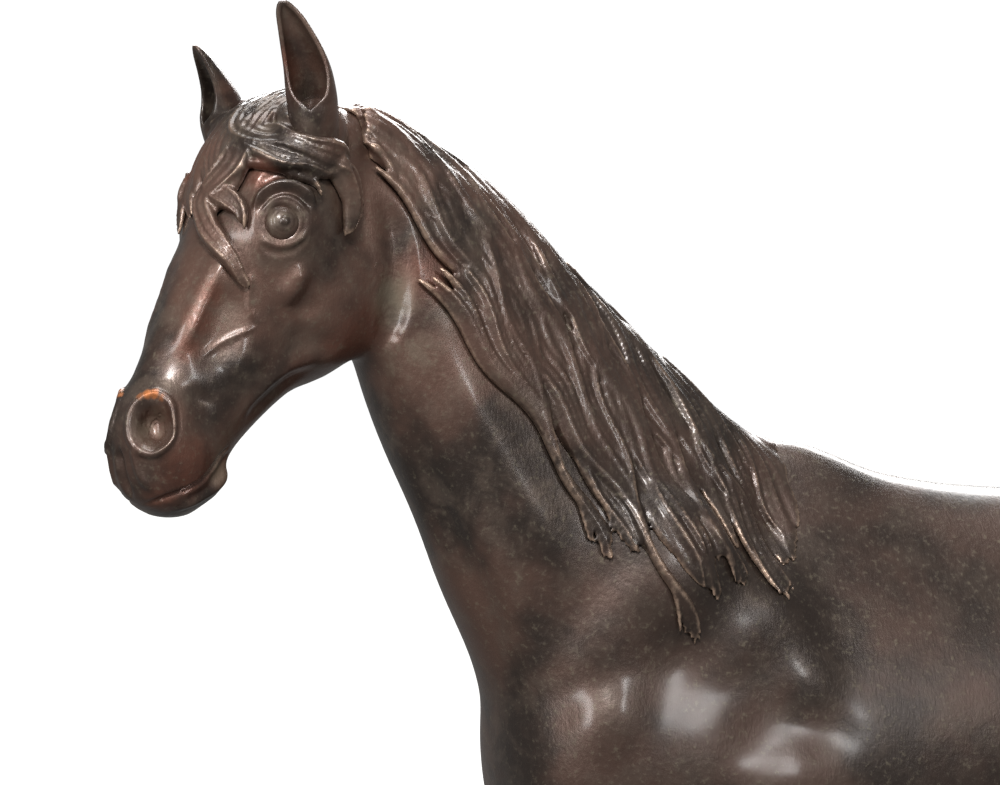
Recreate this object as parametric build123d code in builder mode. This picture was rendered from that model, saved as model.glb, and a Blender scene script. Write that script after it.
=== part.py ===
"""A standing horse, cast in bronze in sections and bolted to a low bronze terrace.

Millimetres. +Z is up, the head points to -X, and the horse's left side is -Y. The origin is the middle
of the underside. The horse's outlines are drawn from the hoof soles up, for a horse of DRAWN_WITHERS,
and are scaled to WITHERS_HEIGHT. Walls, joints, pins and fasteners keep their own sizes.
"""
import os

from build123d import *

# ---------------------------------------------------------------- driving sizes
WITHERS_HEIGHT = 313.0  # hoof sole to withers
DRAWN_WITHERS = 313.0  # withers height that the outlines below are drawn for
SCALE = WITHERS_HEIGHT / DRAWN_WITHERS

WALL = 4.0  # thickness of the hollow castings
FIT = 0.15  # gap all round between a tenon and its socket
TENON_LENGTH = 11.0  # sleeve joints of neck and head
SPIGOT_RADIUS = 6.0  # round spigots on top of the legs
SPIGOT_LENGTH = 14.0
TAIL_SPIGOT_RADIUS = 3.6
TAIL_SPIGOT_LENGTH = 10.0
PIN_RADIUS = 1.5  # riveted cross pins
PIN_SEAT = 0.9  # breadth of a sleeve joint at its pins, as a share of its full breadth
PIN_SPREAD = 0.35  # how far the pins of a sleeve joint sit from its middle, as a share of its half height
SOCKET_ROOM = 1.0  # how much deeper a socket is than its tenon or spigot
CORE_LENGTH = 22.0  # how far a joint's opening runs into the neck
TAIL_SPIGOT_WAY = Vector(-0.9, 0, -0.436).normalized()  # from the tail's root into the croup
TAIL_OVERLAP = 4.0  # length of the spigot inside the tail
TAIL_PIN_SHARE = 0.6  # place of the tail's pin along its spigot
HAIR_THICKNESS = 4.0  # how far the mane stands off the neck
MANE_SIDE = 3.0  # how far the mane is set over to the left
PLUG_RADIUS = 7.0  # threaded plug in the belly, where the core was taken out
PLUG_DEPTH = 9.0
PLUG_PLACE = (-25.0, 164.0)  # x, z

TERRACE_HEIGHT = 22.0
TERRACE_MARGIN = 21.0  # ground left round the hooves
TERRACE_CORNER = 46.0
CORNER_LIMIT = 0.49  # largest corner radius, as a share of the slab's width
TERRACE_WALL = 5.0
HOOF_LENGTH = 27.0
DECK = 5.0  # thickness of the ground that the hooves stand on
PLINTH_HEIGHT = 8.0  # lower step of the terrace
STEP = 5.0  # how far the plinth stands out past the ground
EDGE_ROUND = 3.5
FELT = 1.5
FELT_INSET = 1.5

STUD_RADIUS = 2.5
STUD_IN_HOOF = 12.0
STUD_CLEARANCE = 0.3
WASHER_RADIUS = 6.0
WASHER_THICKNESS = 1.0
NUT_RADIUS = 4.6  # across corners
NUT_HEIGHT = 4.0
STUD_END = 2.0  # thread left below the nut

HOOF_LEVEL = FELT + TERRACE_HEIGHT

RING_SHOULDER = 0.7  # share of a ring's half height at which its fullness is given
RING_FULLNESS = 0.74  # its width there, as a share of its full width

# ---------------------------------------------------------------- outlines
# A ring is one cross-section: (low x, low z, high x, high z, half width).
# Low is the belly, throat, jaw or front side and high is the back, crest, face or rear side.
TORSO = [
    (-182, 212, -182, 244, 17),
    (-172, 192, -172, 262, 32),
    (-153, 179, -153, 281, 39),
    (-126, 170, -126, 302, 42),
    (-98, 166, -98, 313, 43),
    (-65, 165, -65, 302, 46),
    (-25, 167, -25, 298, 49),
    (20, 172, 20, 300, 49),
    (60, 184, 60, 308, 46),
    (90, 199, 90, 311, 46),
    (115, 214, 115, 305, 41),
    (131, 229, 131, 293, 29),
    (139, 242, 139, 281, 16),
]
NECK = [
    (-178, 226, -92, 300, 38),
    (-186, 250, -109, 317, 34),
    (-196, 271, -131, 333, 29),
    (-205, 291, -151, 351, 25),
    (-214, 309, -170, 370, 22),
    (-221, 326, -188, 386, 20),
    (-226, 340, -206, 397, 19),
    (-232, 354, -228, 404, 18),
]
NECK_JOINT = 2  # ring where the neck meets the torso
HEAD_JOINT = 6  # ring where the head meets the neck

# The head's rings are square to a line from the poll to the muzzle:
# (distance from the poll, face side, jaw side, half width).
POLL = (-236.0, 404.0)
HEAD_SLOPE = (-0.53, -0.848)  # unit vector from the poll towards the muzzle
HEAD_TURN = 18.0  # degrees that the head is turned to the horse's left, about an upright line at the poll
HEAD = [
    (-3, -4, -18, 11),
    (3, 7, -22, 15),
    (10, 15, -25, 19),
    (18, 19, -27.5, 21.5),
    (27, 20.5, -31, 23),
    (37, 20, -37, 24.5),
    (47, 18.6, -41, 23.5),
    (57, 17, -41.5, 20.5),
    (67, 16.3, -36.5, 17),
    (77, 15.8, -32, 15),
    (88, 14.5, -28, 13.5),
    (98, 14, -25, 13.5),
    (107, 13, -24, 14.5),
    (115, 9, -21, 13),
    (121, 3, -15, 8),
]

# Leg rings: (front x, rear x, z, half width, distance from the middle plane).
SHOULDER = [
    (-160, -108, 246, 12, 27),
    (-152, -98, 216, 14, 30),
    (-137, -92, 190, 13, 30.5),
    (-128, -92, 173, 12, 29),
    (-124, -93, 160, 11, 28),
]
FORELEG = [
    (-124, -93, 160, 11, 28),
    (-120, -96, 140, 9.5, 27),
    (-116.5, -98, 115, 8, 26),
    (-118, -97.5, 98, 9.3, 26),
    (-115.5, -98, 87, 8, 26),
    (-113, -100, 72, 6.2, 26),
    (-112.5, -100, 50, 5.7, 26),
    (-114, -97, 36, 7.3, 26),
    (-116, -102, 26, 6.4, 26),
    (-121.5, -102, 16, 8.8, 26),
    (-128.5, -101.5, 0, 12, 26),
]
HAUNCH = [
    (66, 118, 284, 12, 24),
    (50, 136, 254, 19, 28),
    (51, 134, 222, 19, 29),
    (62, 127, 194, 16, 28),
    (76, 123, 172, 13, 26.5),
    (80, 122, 160, 12, 26),
]
HINDLEG = [
    (80, 122, 160, 12, 26),
    (97, 126, 140, 9.6, 25.5),
    (109, 136, 121, 8.4, 25),
    (114, 141.5, 108, 9.3, 25),
    (116, 139, 94, 8.2, 25),
    (117, 132, 76, 6.3, 25),
    (115.5, 130, 50, 5.8, 25),
    (112, 130, 36, 7.5, 25),
    (109, 124, 26, 6.7, 25),
    (103, 122.5, 16, 9, 25),
    (96, 123, 0, 12, 25),
]
# How far each hoof is set back (+) or forward (-) of the drawn one.
STRIDE = {"near_foreleg": 4.0, "off_foreleg": -12.0, "near_hindleg": 12.0, "off_hindleg": -8.0}
LEFT, RIGHT = -1, 1

# Tail rings: (low x, low z, high x, high z, half width).
TAIL = [
    (136, 280, 138, 294, 6.5),
    (144, 284, 148, 299, 8),
    (153, 280, 163, 294, 10),
    (157, 262, 174, 268, 12.5),
    (157, 235, 178, 236, 14),
    (155, 200, 177, 199, 14),
    (153, 165, 172, 163, 12),
    (151, 135, 166, 133, 8.5),
    (152, 110, 159, 108, 3.5),
]
# The mane covers this share of each neck ring, from the crest down its left side.
MANE_SHARE = [0.5, 0.66, 0.66, 0.6, 0.52, 0.46, 0.36]
MANE_BREADTH = 0.82  # breadth of the neck under the mane, as a share of the neck's full breadth
# Forelock rings lie over the forehead, as head rings.
FORELOCK = [(6, 14, -1, 9), (15, 22, 4, 15), (27, 25, 7, 18), (40, 24.5, 10, 15), (53, 21, 12, 7)]
# Ear rings: (height above the ear's seat, half depth, half width, lean forward, lean outward).
EAR = [
    (-7, 6.5, 4.5, 0, 0),
    (3, 7.2, 5.0, 0.6, 0.4),
    (12, 7.0, 4.8, 2.4, 1.0),
    (21, 5.4, 3.8, 5.2, 1.4),
    (29, 3.0, 2.4, 8.8, 1.4),
    (34.5, 1.1, 1.0, 11.8, 1.0),
]
EAR_SEAT = (-251.8, 399.0, 19.0)  # x, z and distance from the middle plane
FAR_EAR = 0.75  # height of the right ear, as a share of the left one's
FAR_EAR_DROP = 3.0  # how much lower the right ear sits, as the head tips a little
EAR_WALL = 1.6
EAR_OPENING = 2.6  # how far the hollow is moved forward and outward


# ---------------------------------------------------------------- drawing rings
def ring_plane(low, high, side=0.0):
    """Plane square to the middle plane, through two outline points, with its local y towards high."""
    rise = (Vector(high[0], 0, high[1]) - Vector(low[0], 0, low[1])).normalized()
    middle = Vector(low[0] + high[0], 0, low[1] + high[1]) / 2 * SCALE
    across = Vector(0, 1, 0)
    return Plane(middle + Vector(0, side * SCALE, HOOF_LEVEL), x_dir=across, z_dir=across.cross(rise))


def ring_sketch(plane, half_height, half_width):
    """A rounded outline on a plane, a little fuller than an ellipse."""
    shoulder = RING_SHOULDER * half_height
    side = RING_FULLNESS * half_width
    with BuildSketch(plane) as outline:
        with BuildLine():
            Spline(
                (0, -half_height),
                (side, -shoulder),
                (half_width, 0),
                (side, shoulder),
                (0, half_height),
                (-side, shoulder),
                (-half_width, 0),
                (-side, -shoulder),
                periodic=True,
            )
        make_face()
    return outline.sketch


def body_ring(ring, inset=0.0, side=0.0):
    """One ring given by its low and high outline points, drawn inset from the surface."""
    low, high, half_width = ring[0:2], ring[2:4], ring[4]
    half_height = (Vector(*high) - Vector(*low)).length / 2
    return ring_sketch(ring_plane(low, high, side), half_height * SCALE - inset, half_width * SCALE - inset)


def body_skin(rings, inset=0.0, side=0.0, mode=Mode.ADD):
    """A smooth solid through body rings, in the part being built."""
    loft([body_ring(ring, inset, side) for ring in rings], mode=mode)


def head_point(along, out):
    """Outline point at a distance from the poll along the head's line, and out towards the face."""
    slope_x, slope_z = HEAD_SLOPE
    return (POLL[0] + along * slope_x + out * slope_z, POLL[1] + along * slope_z - out * slope_x)


def head_ring(ring):
    """A head ring as a body ring, jaw side low and face side high."""
    along, face, jaw, half_width = ring
    return (*head_point(along, jaw), *head_point(along, face), half_width)


def turned(piece):
    """A piece of the head, turned with it to the horse's left."""
    return piece.rotate(Axis((POLL[0] * SCALE, 0, 0), (0, 0, 1)), HEAD_TURN)


def leg_rings(rings, stride=0.0):
    """Leg rings as body rings, swung from the top ring so that the hoof moves by the stride."""
    top = rings[0][2]
    moved = []
    for front, rear, z, half_width, _ in rings:
        swing = stride * (top - z) / top
        moved.append((front + swing, z, rear + swing, z, half_width))
    return moved


def leg_skin(rings, side, stride=0.0, mode=Mode.ADD):
    """A leg or upper-leg solid on one side, straight from ring to ring so that no joint swells."""
    sections = []
    for ring, (_, _, _, _, apart) in zip(leg_rings(rings, stride), rings):
        sections.append(body_ring(ring, side=side * apart))
    loft(sections, ruled=True, mode=mode)


def leg_top(rings, side):
    """Middle of the ring where a leg meets the torso."""
    front, rear, z, _, apart = rings[0]
    return Vector((front + rear) / 2 * SCALE, side * apart * SCALE, z * SCALE + HOOF_LEVEL)


def hoof_centre(rings, side, stride):
    """Middle of a hoof's sole."""
    front, rear, _, _, apart = rings[-1]
    return Vector(((front + rear) / 2 + stride) * SCALE, side * apart * SCALE, HOOF_LEVEL)


def rod(point, direction, radius, length, mode=Mode.ADD):
    """A round rod from a point along a direction, in the part being built."""
    with BuildSketch(Plane(point, z_dir=direction)) as end:
        Circle(radius)
    extrude(end.sketch, amount=length, mode=mode)


LEGS = {
    "near_foreleg": (FORELEG, LEFT),
    "off_foreleg": (FORELEG, RIGHT),
    "near_hindleg": (HINDLEG, LEFT),
    "off_hindleg": (HINDLEG, RIGHT),
}
HOOVES = [hoof_centre(rings, side, STRIDE[name]) for name, (rings, side) in LEGS.items()]


# ---------------------------------------------------------------- pins and their places
PIN_REACH = 60.0 * SCALE  # long enough to pass out through any skin
TAIL_ROOT = Vector((TAIL[0][0] + TAIL[0][2]) / 2, 0, (TAIL[0][1] + TAIL[0][3]) / 2) * SCALE
TAIL_ROOT += Vector(0, 0, HOOF_LEVEL)


def leg_pin(rings, side, mode=Mode.ADD):
    """A leg's cross pin, from the inner side of the spigot outwards."""
    top = leg_top(rings, side)
    start = Vector(top.X, top.Y - side * SPIGOT_RADIUS, top.Z + SPIGOT_LENGTH / 2)
    rod(start, (0, side, 0), PIN_RADIUS, PIN_REACH, mode)


def sleeve_pins(ring, depth, mode=Mode.ADD):
    """Four cross pins of a sleeve joint, two a side, halfway along a tenon of signed depth."""
    plane = ring_plane(ring[0:2], ring[2:4])
    half_height = (Vector(*ring[2:4]) - Vector(*ring[0:2])).length / 2 * SCALE
    start = PIN_SEAT * ring[4] * SCALE - 2 * WALL
    for side in (LEFT, RIGHT):
        for up in (-PIN_SPREAD, PIN_SPREAD):
            place = plane.from_local_coords(Vector(side * start, up * half_height, depth / 2))
            rod(place, (0, side, 0), PIN_RADIUS, PIN_REACH, mode)


def tail_spigot(radius, length, mode=Mode.ADD):
    """The round spigot that runs from the tail's root into the croup."""
    rod(TAIL_ROOT - TAIL_SPIGOT_WAY * TAIL_OVERLAP, TAIL_SPIGOT_WAY, radius, length + TAIL_OVERLAP, mode)


def tail_pin(mode=Mode.ADD):
    """The tail's cross pin, from the spigot up through the croup."""
    middle = TAIL_ROOT + TAIL_SPIGOT_WAY * TAIL_SPIGOT_LENGTH * TAIL_PIN_SHARE
    rod(middle - Vector(0, 0, TAIL_SPIGOT_RADIUS), (0, 0, 1), PIN_RADIUS, PIN_REACH, mode)


def belly_plug(mode=Mode.ADD):
    """The round plug in the belly, on the middle plane."""
    x, z = PLUG_PLACE
    rod(Vector(x * SCALE, 0, z * SCALE + HOOF_LEVEL), (0, 0, 1), PLUG_RADIUS, PLUG_DEPTH, mode)


# ---------------------------------------------------------------- outer forms shared by the castings
neck_joint, head_joint = NECK[NECK_JOINT], NECK[HEAD_JOINT]
head_joint_plane = ring_plane(head_joint[0:2], head_joint[2:4])

with BuildPart() as torso_form:
    body_skin(TORSO)
    body_skin(NECK[: NECK_JOINT + 1])
    for side in (LEFT, RIGHT):
        leg_skin(SHOULDER, side)
        leg_skin(HAUNCH, side)

with BuildPart() as neck_form:
    body_skin(NECK[NECK_JOINT : HEAD_JOINT + 1])

with BuildPart() as straight_head:
    body_skin([head_ring(ring) for ring in HEAD])

with BuildPart() as head_form:
    add(turned(straight_head.part))
    body_skin(NECK[HEAD_JOINT:])
    split(bisect_by=head_joint_plane, keep=Keep.BOTTOM)

# ---------------------------------------------------------------- torso
with BuildPart() as torso_casting:
    add(torso_form.part)
    body_skin(TORSO[1:-1], inset=WALL, mode=Mode.SUBTRACT)
    body_skin(NECK[: NECK_JOINT + 1], inset=2 * WALL, mode=Mode.SUBTRACT)
    extrude(body_ring(neck_joint, WALL), amount=TENON_LENGTH + SOCKET_ROOM, mode=Mode.SUBTRACT)
    sleeve_pins(neck_joint, TENON_LENGTH, Mode.SUBTRACT)
    for rings, side in LEGS.values():
        rod(leg_top(rings, side), (0, 0, 1), SPIGOT_RADIUS + FIT, SPIGOT_LENGTH + SOCKET_ROOM, Mode.SUBTRACT)
        leg_pin(rings, side, Mode.SUBTRACT)
    tail_spigot(TAIL_SPIGOT_RADIUS + FIT, TAIL_SPIGOT_LENGTH, Mode.SUBTRACT)
    tail_pin(Mode.SUBTRACT)
    belly_plug(Mode.SUBTRACT)

# ---------------------------------------------------------------- neck, with a tenon at each end
with BuildPart() as neck_casting:
    add(neck_form.part)
    body_skin(NECK[NECK_JOINT + 1 : HEAD_JOINT], inset=WALL, mode=Mode.SUBTRACT)
    for ring, depth in ((neck_joint, TENON_LENGTH), (head_joint, -TENON_LENGTH)):
        extrude(body_ring(ring, WALL + FIT), amount=depth)
        core = body_ring(ring, 2 * WALL)
        extrude(core, amount=depth, mode=Mode.SUBTRACT)
        extrude(core, amount=-CORE_LENGTH * SCALE * depth / TENON_LENGTH, mode=Mode.SUBTRACT)
        sleeve_pins(ring, depth, Mode.SUBTRACT)

# ---------------------------------------------------------------- head
with BuildPart() as head_core:
    body_skin([head_ring(ring) for ring in HEAD[2:10]], inset=WALL)

with BuildPart() as head_casting:
    add(head_form.part)
    add(turned(head_core.part), mode=Mode.SUBTRACT)
    extrude(body_ring(head_joint, WALL), amount=-(TENON_LENGTH + SOCKET_ROOM), mode=Mode.SUBTRACT)
    sleeve_pins(head_joint, -TENON_LENGTH, Mode.SUBTRACT)


# ---------------------------------------------------------------- ears
def ear(side):
    """A hollow ear, open forwards and outwards, seated on the head."""
    x, z, apart = EAR_SEAT
    tall = 1 if side == LEFT else FAR_EAR
    drop = 0 if side == LEFT else FAR_EAR_DROP
    with BuildPart() as shell:
        for wall, rings, opening, mode in (
            (0, EAR, 0, Mode.ADD),
            (EAR_WALL, EAR[1:-1], EAR_OPENING, Mode.SUBTRACT),
        ):
            sections = []
            for height, half_depth, half_width, forward, outward in rings:
                middle = Vector(x - forward, side * (apart + outward), z - drop + height * tall) * SCALE
                shift = Vector(-opening, side * opening, HOOF_LEVEL)
                with BuildSketch(Plane(middle + shift)) as section:
                    Ellipse(half_depth * SCALE - wall, half_width * SCALE - wall)
                sections.append(section.sketch)
            loft(sections, mode=mode)
    with BuildPart() as seated:
        add(turned(shell.part))
        add(head_form.part, mode=Mode.SUBTRACT)
    return seated.part


left_ear, right_ear = ear(LEFT), ear(RIGHT)

# ---------------------------------------------------------------- forelock and mane
with BuildPart() as straight_forelock:
    body_skin([head_ring(ring) for ring in FORELOCK])

with BuildPart() as forelock:
    add(turned(straight_forelock.part))
    add(head_form.part, mode=Mode.SUBTRACT)
    add(left_ear, mode=Mode.SUBTRACT)
    add(right_ear, mode=Mode.SUBTRACT)


def mane_ring(neck_ring, share):
    """A mane ring over the upper share of a neck ring, standing off its crest by the hair's thickness."""
    low, crest = Vector(*neck_ring[0:2]), Vector(*neck_ring[2:4])
    rise = (crest - low).normalized()
    high = crest + rise * HAIR_THICKNESS / SCALE
    foot = crest - (crest - low) * share
    return (foot.X, foot.Y, high.X, high.Y, neck_ring[4] * MANE_BREADTH + HAIR_THICKNESS / SCALE)


with BuildPart() as mane:
    body_skin([mane_ring(*pair) for pair in zip(NECK, MANE_SHARE)], side=LEFT * MANE_SIDE)
    for form in (torso_form, neck_form, head_form):
        add(form.part, mode=Mode.SUBTRACT)

# ---------------------------------------------------------------- tail
with BuildPart() as tail:
    body_skin(TAIL)
    add(torso_form.part, mode=Mode.SUBTRACT)
    tail_spigot(TAIL_SPIGOT_RADIUS, TAIL_SPIGOT_LENGTH)
    tail_pin(Mode.SUBTRACT)


# ---------------------------------------------------------------- legs
def leg(name):
    """A solid leg with a round spigot on top and a blind hole up into the hoof."""
    rings, side = LEGS[name]
    stride = STRIDE[name]
    with BuildPart() as casting:
        leg_skin(rings, side, stride)
        rod(leg_top(rings, side), (0, 0, 1), SPIGOT_RADIUS, SPIGOT_LENGTH)
        leg_pin(rings, side, Mode.SUBTRACT)
        rod(hoof_centre(rings, side, stride), (0, 0, 1), STUD_RADIUS, STUD_IN_HOOF, Mode.SUBTRACT)
    return casting.part


legs = {name: leg(name) for name in LEGS}

# ---------------------------------------------------------------- pins and plug, flush with the skin
with BuildPart() as neck_joint_pins:
    sleeve_pins(neck_joint, TENON_LENGTH)
    add(torso_form.part, mode=Mode.INTERSECT)

with BuildPart() as head_joint_pins:
    sleeve_pins(head_joint, -TENON_LENGTH)
    add(head_form.part, mode=Mode.INTERSECT)

with BuildPart() as foreleg_joint_pins:
    for name in ("near_foreleg", "off_foreleg"):
        leg_pin(*LEGS[name])
    add(torso_form.part, mode=Mode.INTERSECT)

with BuildPart() as hindleg_joint_pins:
    for name in ("near_hindleg", "off_hindleg"):
        leg_pin(*LEGS[name])
    add(torso_form.part, mode=Mode.INTERSECT)

with BuildPart() as tail_joint_pin:
    tail_pin()
    add(torso_form.part, mode=Mode.INTERSECT)

with BuildPart() as core_plug:
    belly_plug()
    add(torso_form.part, mode=Mode.INTERSECT)

# ---------------------------------------------------------------- terrace and felt
hoof_reach = max(abs(hoof.X) for hoof in HOOVES) + HOOF_LENGTH / 2 * SCALE
hoof_spread = max(abs(hoof.Y) for hoof in HOOVES) + HOOF_LENGTH / 2 * SCALE
ground_length = 2 * (hoof_reach + TERRACE_MARGIN)
ground_width = 2 * (hoof_spread + TERRACE_MARGIN)


def slab(height, grow, thickness, mode=Mode.ADD):
    """A slab with the terrace's rounded outline, grown or shrunk, in the part being built."""
    with BuildSketch(Plane.XY.offset(height)) as outline:
        length, width = ground_length + 2 * grow, ground_width + 2 * grow
        RectangleRounded(length, width, min(TERRACE_CORNER + grow, CORNER_LIMIT * width))
    extrude(outline.sketch, amount=thickness, mode=mode)


with BuildPart() as terrace:
    slab(FELT, STEP, PLINTH_HEIGHT)
    fillet(terrace.faces().sort_by(Axis.Z)[-1].edges(), EDGE_ROUND)
    slab(FELT + PLINTH_HEIGHT, 0, TERRACE_HEIGHT - PLINTH_HEIGHT)
    fillet(terrace.faces().sort_by(Axis.Z)[-1].edges(), EDGE_ROUND)
    slab(FELT, -TERRACE_WALL, TERRACE_HEIGHT - DECK, Mode.SUBTRACT)
    for hoof in HOOVES:
        rod(hoof - Vector(0, 0, DECK), (0, 0, 1), STUD_RADIUS + STUD_CLEARANCE, DECK, Mode.SUBTRACT)

with BuildPart() as felt_liner:
    slab(0, STEP - FELT_INSET, FELT)

# ---------------------------------------------------------------- studs, washers and nuts
washer_top = HOOF_LEVEL - DECK
nut_top = washer_top - WASHER_THICKNESS
nut_bottom = nut_top - NUT_HEIGHT

with BuildPart() as hoof_studs:
    for hoof in HOOVES:
        foot = Vector(hoof.X, hoof.Y, nut_bottom - STUD_END)
        rod(foot, (0, 0, 1), STUD_RADIUS, HOOF_LEVEL + STUD_IN_HOOF - foot.Z)

with BuildPart() as stud_washers:
    for hoof in HOOVES:
        seat = Vector(hoof.X, hoof.Y, nut_top)
        rod(seat, (0, 0, 1), WASHER_RADIUS, WASHER_THICKNESS)
        rod(seat, (0, 0, 1), STUD_RADIUS + STUD_CLEARANCE, WASHER_THICKNESS, Mode.SUBTRACT)

with BuildPart() as stud_nuts:
    with BuildSketch(Plane.XY.offset(nut_bottom)):
        with Locations(*[(hoof.X, hoof.Y) for hoof in HOOVES]):
            RegularPolygon(NUT_RADIUS, 6)
            Circle(STUD_RADIUS, mode=Mode.SUBTRACT)
    extrude(amount=NUT_HEIGHT)

# ---------------------------------------------------------------- labels and files
pieces = {
    "torso_casting": torso_casting.part,
    "neck_casting": neck_casting.part,
    "head_casting": head_casting.part,
    "left_ear": left_ear,
    "right_ear": right_ear,
    "forelock": forelock.part,
    "mane": mane.part,
    "tail": tail.part,
    **legs,
    "neck_joint_pins": neck_joint_pins.part,
    "head_joint_pins": head_joint_pins.part,
    "foreleg_joint_pins": foreleg_joint_pins.part,
    "hindleg_joint_pins": hindleg_joint_pins.part,
    "tail_joint_pin": tail_joint_pin.part,
    "core_plug": core_plug.part,
    "terrace": terrace.part,
    "felt_liner": felt_liner.part,
    "hoof_studs": hoof_studs.part,
    "stud_washers": stud_washers.part,
    "stud_nuts": stud_nuts.part,
}
os.makedirs("parts", exist_ok=True)
for name, piece in pieces.items():
    piece.label = name
    export_step(piece, f"parts/{name}.step")
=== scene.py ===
"""A bronze statuette of a standing horse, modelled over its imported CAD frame.

The horse is drawn in millimetres above the hoof soles, head to -X and its left side to -Y. It is
worked like clay at that size, cut at the casting joints, and then placed in the frame.
"""
import math

import bmesh
import bpy
import numpy as np
from mathutils import Matrix, Vector, noise
from mathutils.bvhtree import BVHTree


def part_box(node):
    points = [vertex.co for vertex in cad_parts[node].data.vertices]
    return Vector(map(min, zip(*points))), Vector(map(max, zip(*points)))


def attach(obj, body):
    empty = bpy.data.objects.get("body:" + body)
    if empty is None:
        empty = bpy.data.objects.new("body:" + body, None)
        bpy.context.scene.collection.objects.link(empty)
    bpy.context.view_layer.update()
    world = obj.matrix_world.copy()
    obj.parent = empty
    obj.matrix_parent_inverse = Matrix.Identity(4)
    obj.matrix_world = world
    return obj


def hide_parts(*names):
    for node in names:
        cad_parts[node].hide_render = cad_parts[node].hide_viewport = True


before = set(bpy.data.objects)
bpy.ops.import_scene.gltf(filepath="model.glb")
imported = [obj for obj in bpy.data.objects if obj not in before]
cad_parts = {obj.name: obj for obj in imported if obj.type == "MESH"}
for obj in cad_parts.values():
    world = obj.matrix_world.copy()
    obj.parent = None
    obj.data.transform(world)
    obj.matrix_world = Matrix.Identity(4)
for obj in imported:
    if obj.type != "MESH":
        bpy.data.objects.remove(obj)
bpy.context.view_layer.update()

# ------------------------------------------------------------------ sizes from the frame
SOLE_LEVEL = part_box("terrace")[1].z
LEG_CUT = 160.0  # height of the joint faces on the legs, the lowest of the torso casting
MM = (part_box("torso_casting")[0].z - SOLE_LEVEL) / LEG_CUT  # metres to a drawn millimetre
TO_FRAME = Matrix.Translation((0, 0, SOLE_LEVEL)) @ Matrix.Scale(MM, 4)
TO_DRAWING = TO_FRAME.inverted()
LEFT, RIGHT = -1, 1

# ------------------------------------------------------------------ fineness of the work, drawn millimetres
RING_POINTS = 36
RING_STEP = 3.0
CLAY_GRAIN = 1.5
HAIR_GRAIN = 0.6
FORELOCK_GRAIN = 0.5
TAIL_GRAIN = 0.8
EAR_GRAIN = 0.35
TERRACE_GRAIN = 1.4
SPRING_BACK = 1.04  # undoes the shrinking of a smoothing round
OUTSIDE = 120.0  # beyond the horse's flanks

# ------------------------------------------------------------------ outlines
# Body rings: (low x, low z, high x, high z, half width, lean, distance from the middle plane). Lean moves
# the widest place down (+) or up (-).
TORSO = [
    (-184, 220, -184, 238, 9, 0, 0),
    (-179, 204, -180, 252, 22, 0.05, 0),
    (-169, 191, -169, 266, 33, 0.1, 0),
    (-150, 179, -150, 284, 38, 0.25, 0),
    (-126, 170, -126, 302, 40, 0.35, 0),
    (-98, 166, -98, 312, 42, 0.42, 0),
    (-65, 165, -65, 301.5, 46, 0.28, 0),
    (-25, 167, -25, 296.5, 49, 0.14, 0),
    (20, 172, 20, 299, 49, 0.08, 0),
    (60, 184, 60, 307, 44, -0.05, 0),
    (90, 199, 90, 310, 42, -0.05, 0),
    (115, 214, 115, 304, 37, 0, 0),
    (131, 229, 131, 293, 26, 0, 0),
    (139, 244, 139, 280, 12, 0, 0),
]
NECK = [
    (-166, 203, -80, 286, 34, 0.2, 0),
    (-180, 225, -94, 298, 34, 0.28, 0),
    (-188.5, 249, -111, 315, 30, 0.3, 0),
    (-198.5, 270, -133, 330.5, 26.5, 0.32, 0),
    (-207, 290.5, -153, 348.5, 23.5, 0.32, 0),
    (-215.5, 309, -172, 367.5, 21.5, 0.3, 0),
    (-222, 326, -190, 383.5, 20, 0.26, 0),
    (-226, 340, -207.5, 394.5, 18.5, 0.2, 0),
    (-231, 352, -224, 402, 17, 0.1, 0),
    (-238, 362, -238, 402, 14, 0, 0),
]
# Head rings, square to a line from the poll to the muzzle: (distance from the poll, face side, jaw side,
# half width, lean).
POLL = Vector((-236, 0, 404))
HEAD_DOWN = Vector((-0.53, 0, -0.848))
HEAD_OUT = Vector((-0.848, 0, 0.53))
HEAD_TURN = math.radians(18)
HEAD = [
    (-3, -4, -18, 10, 0),
    (3, 7, -22, 14, -0.05),
    (10, 14, -25, 17.5, -0.1),
    (18, 17.5, -27.5, 20, -0.2),
    (27, 19, -31.5, 22, -0.28),
    (37, 18.5, -37, 22.8, -0.3),
    (47, 17.5, -42, 21.5, -0.25),
    (56, 16.4, -43.5, 19.4, -0.15),
    (62, 16, -41, 17.8, -0.1),
    (67, 15.6, -36, 16.5, -0.06),
    (72, 15.2, -31.5, 15.5, -0.03),
    (78, 14.8, -28.6, 14.6, 0),
    (88, 13.8, -25, 13.2, 0),
    (98, 13, -22.5, 12.8, 0),
    (107, 12, -23, 13, 0),
    (115, 8, -21.5, 11.8, 0),
    (120, 3, -17.5, 9.5, 0),
    (123, -2, -12, 4.5, 0),
]
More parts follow.
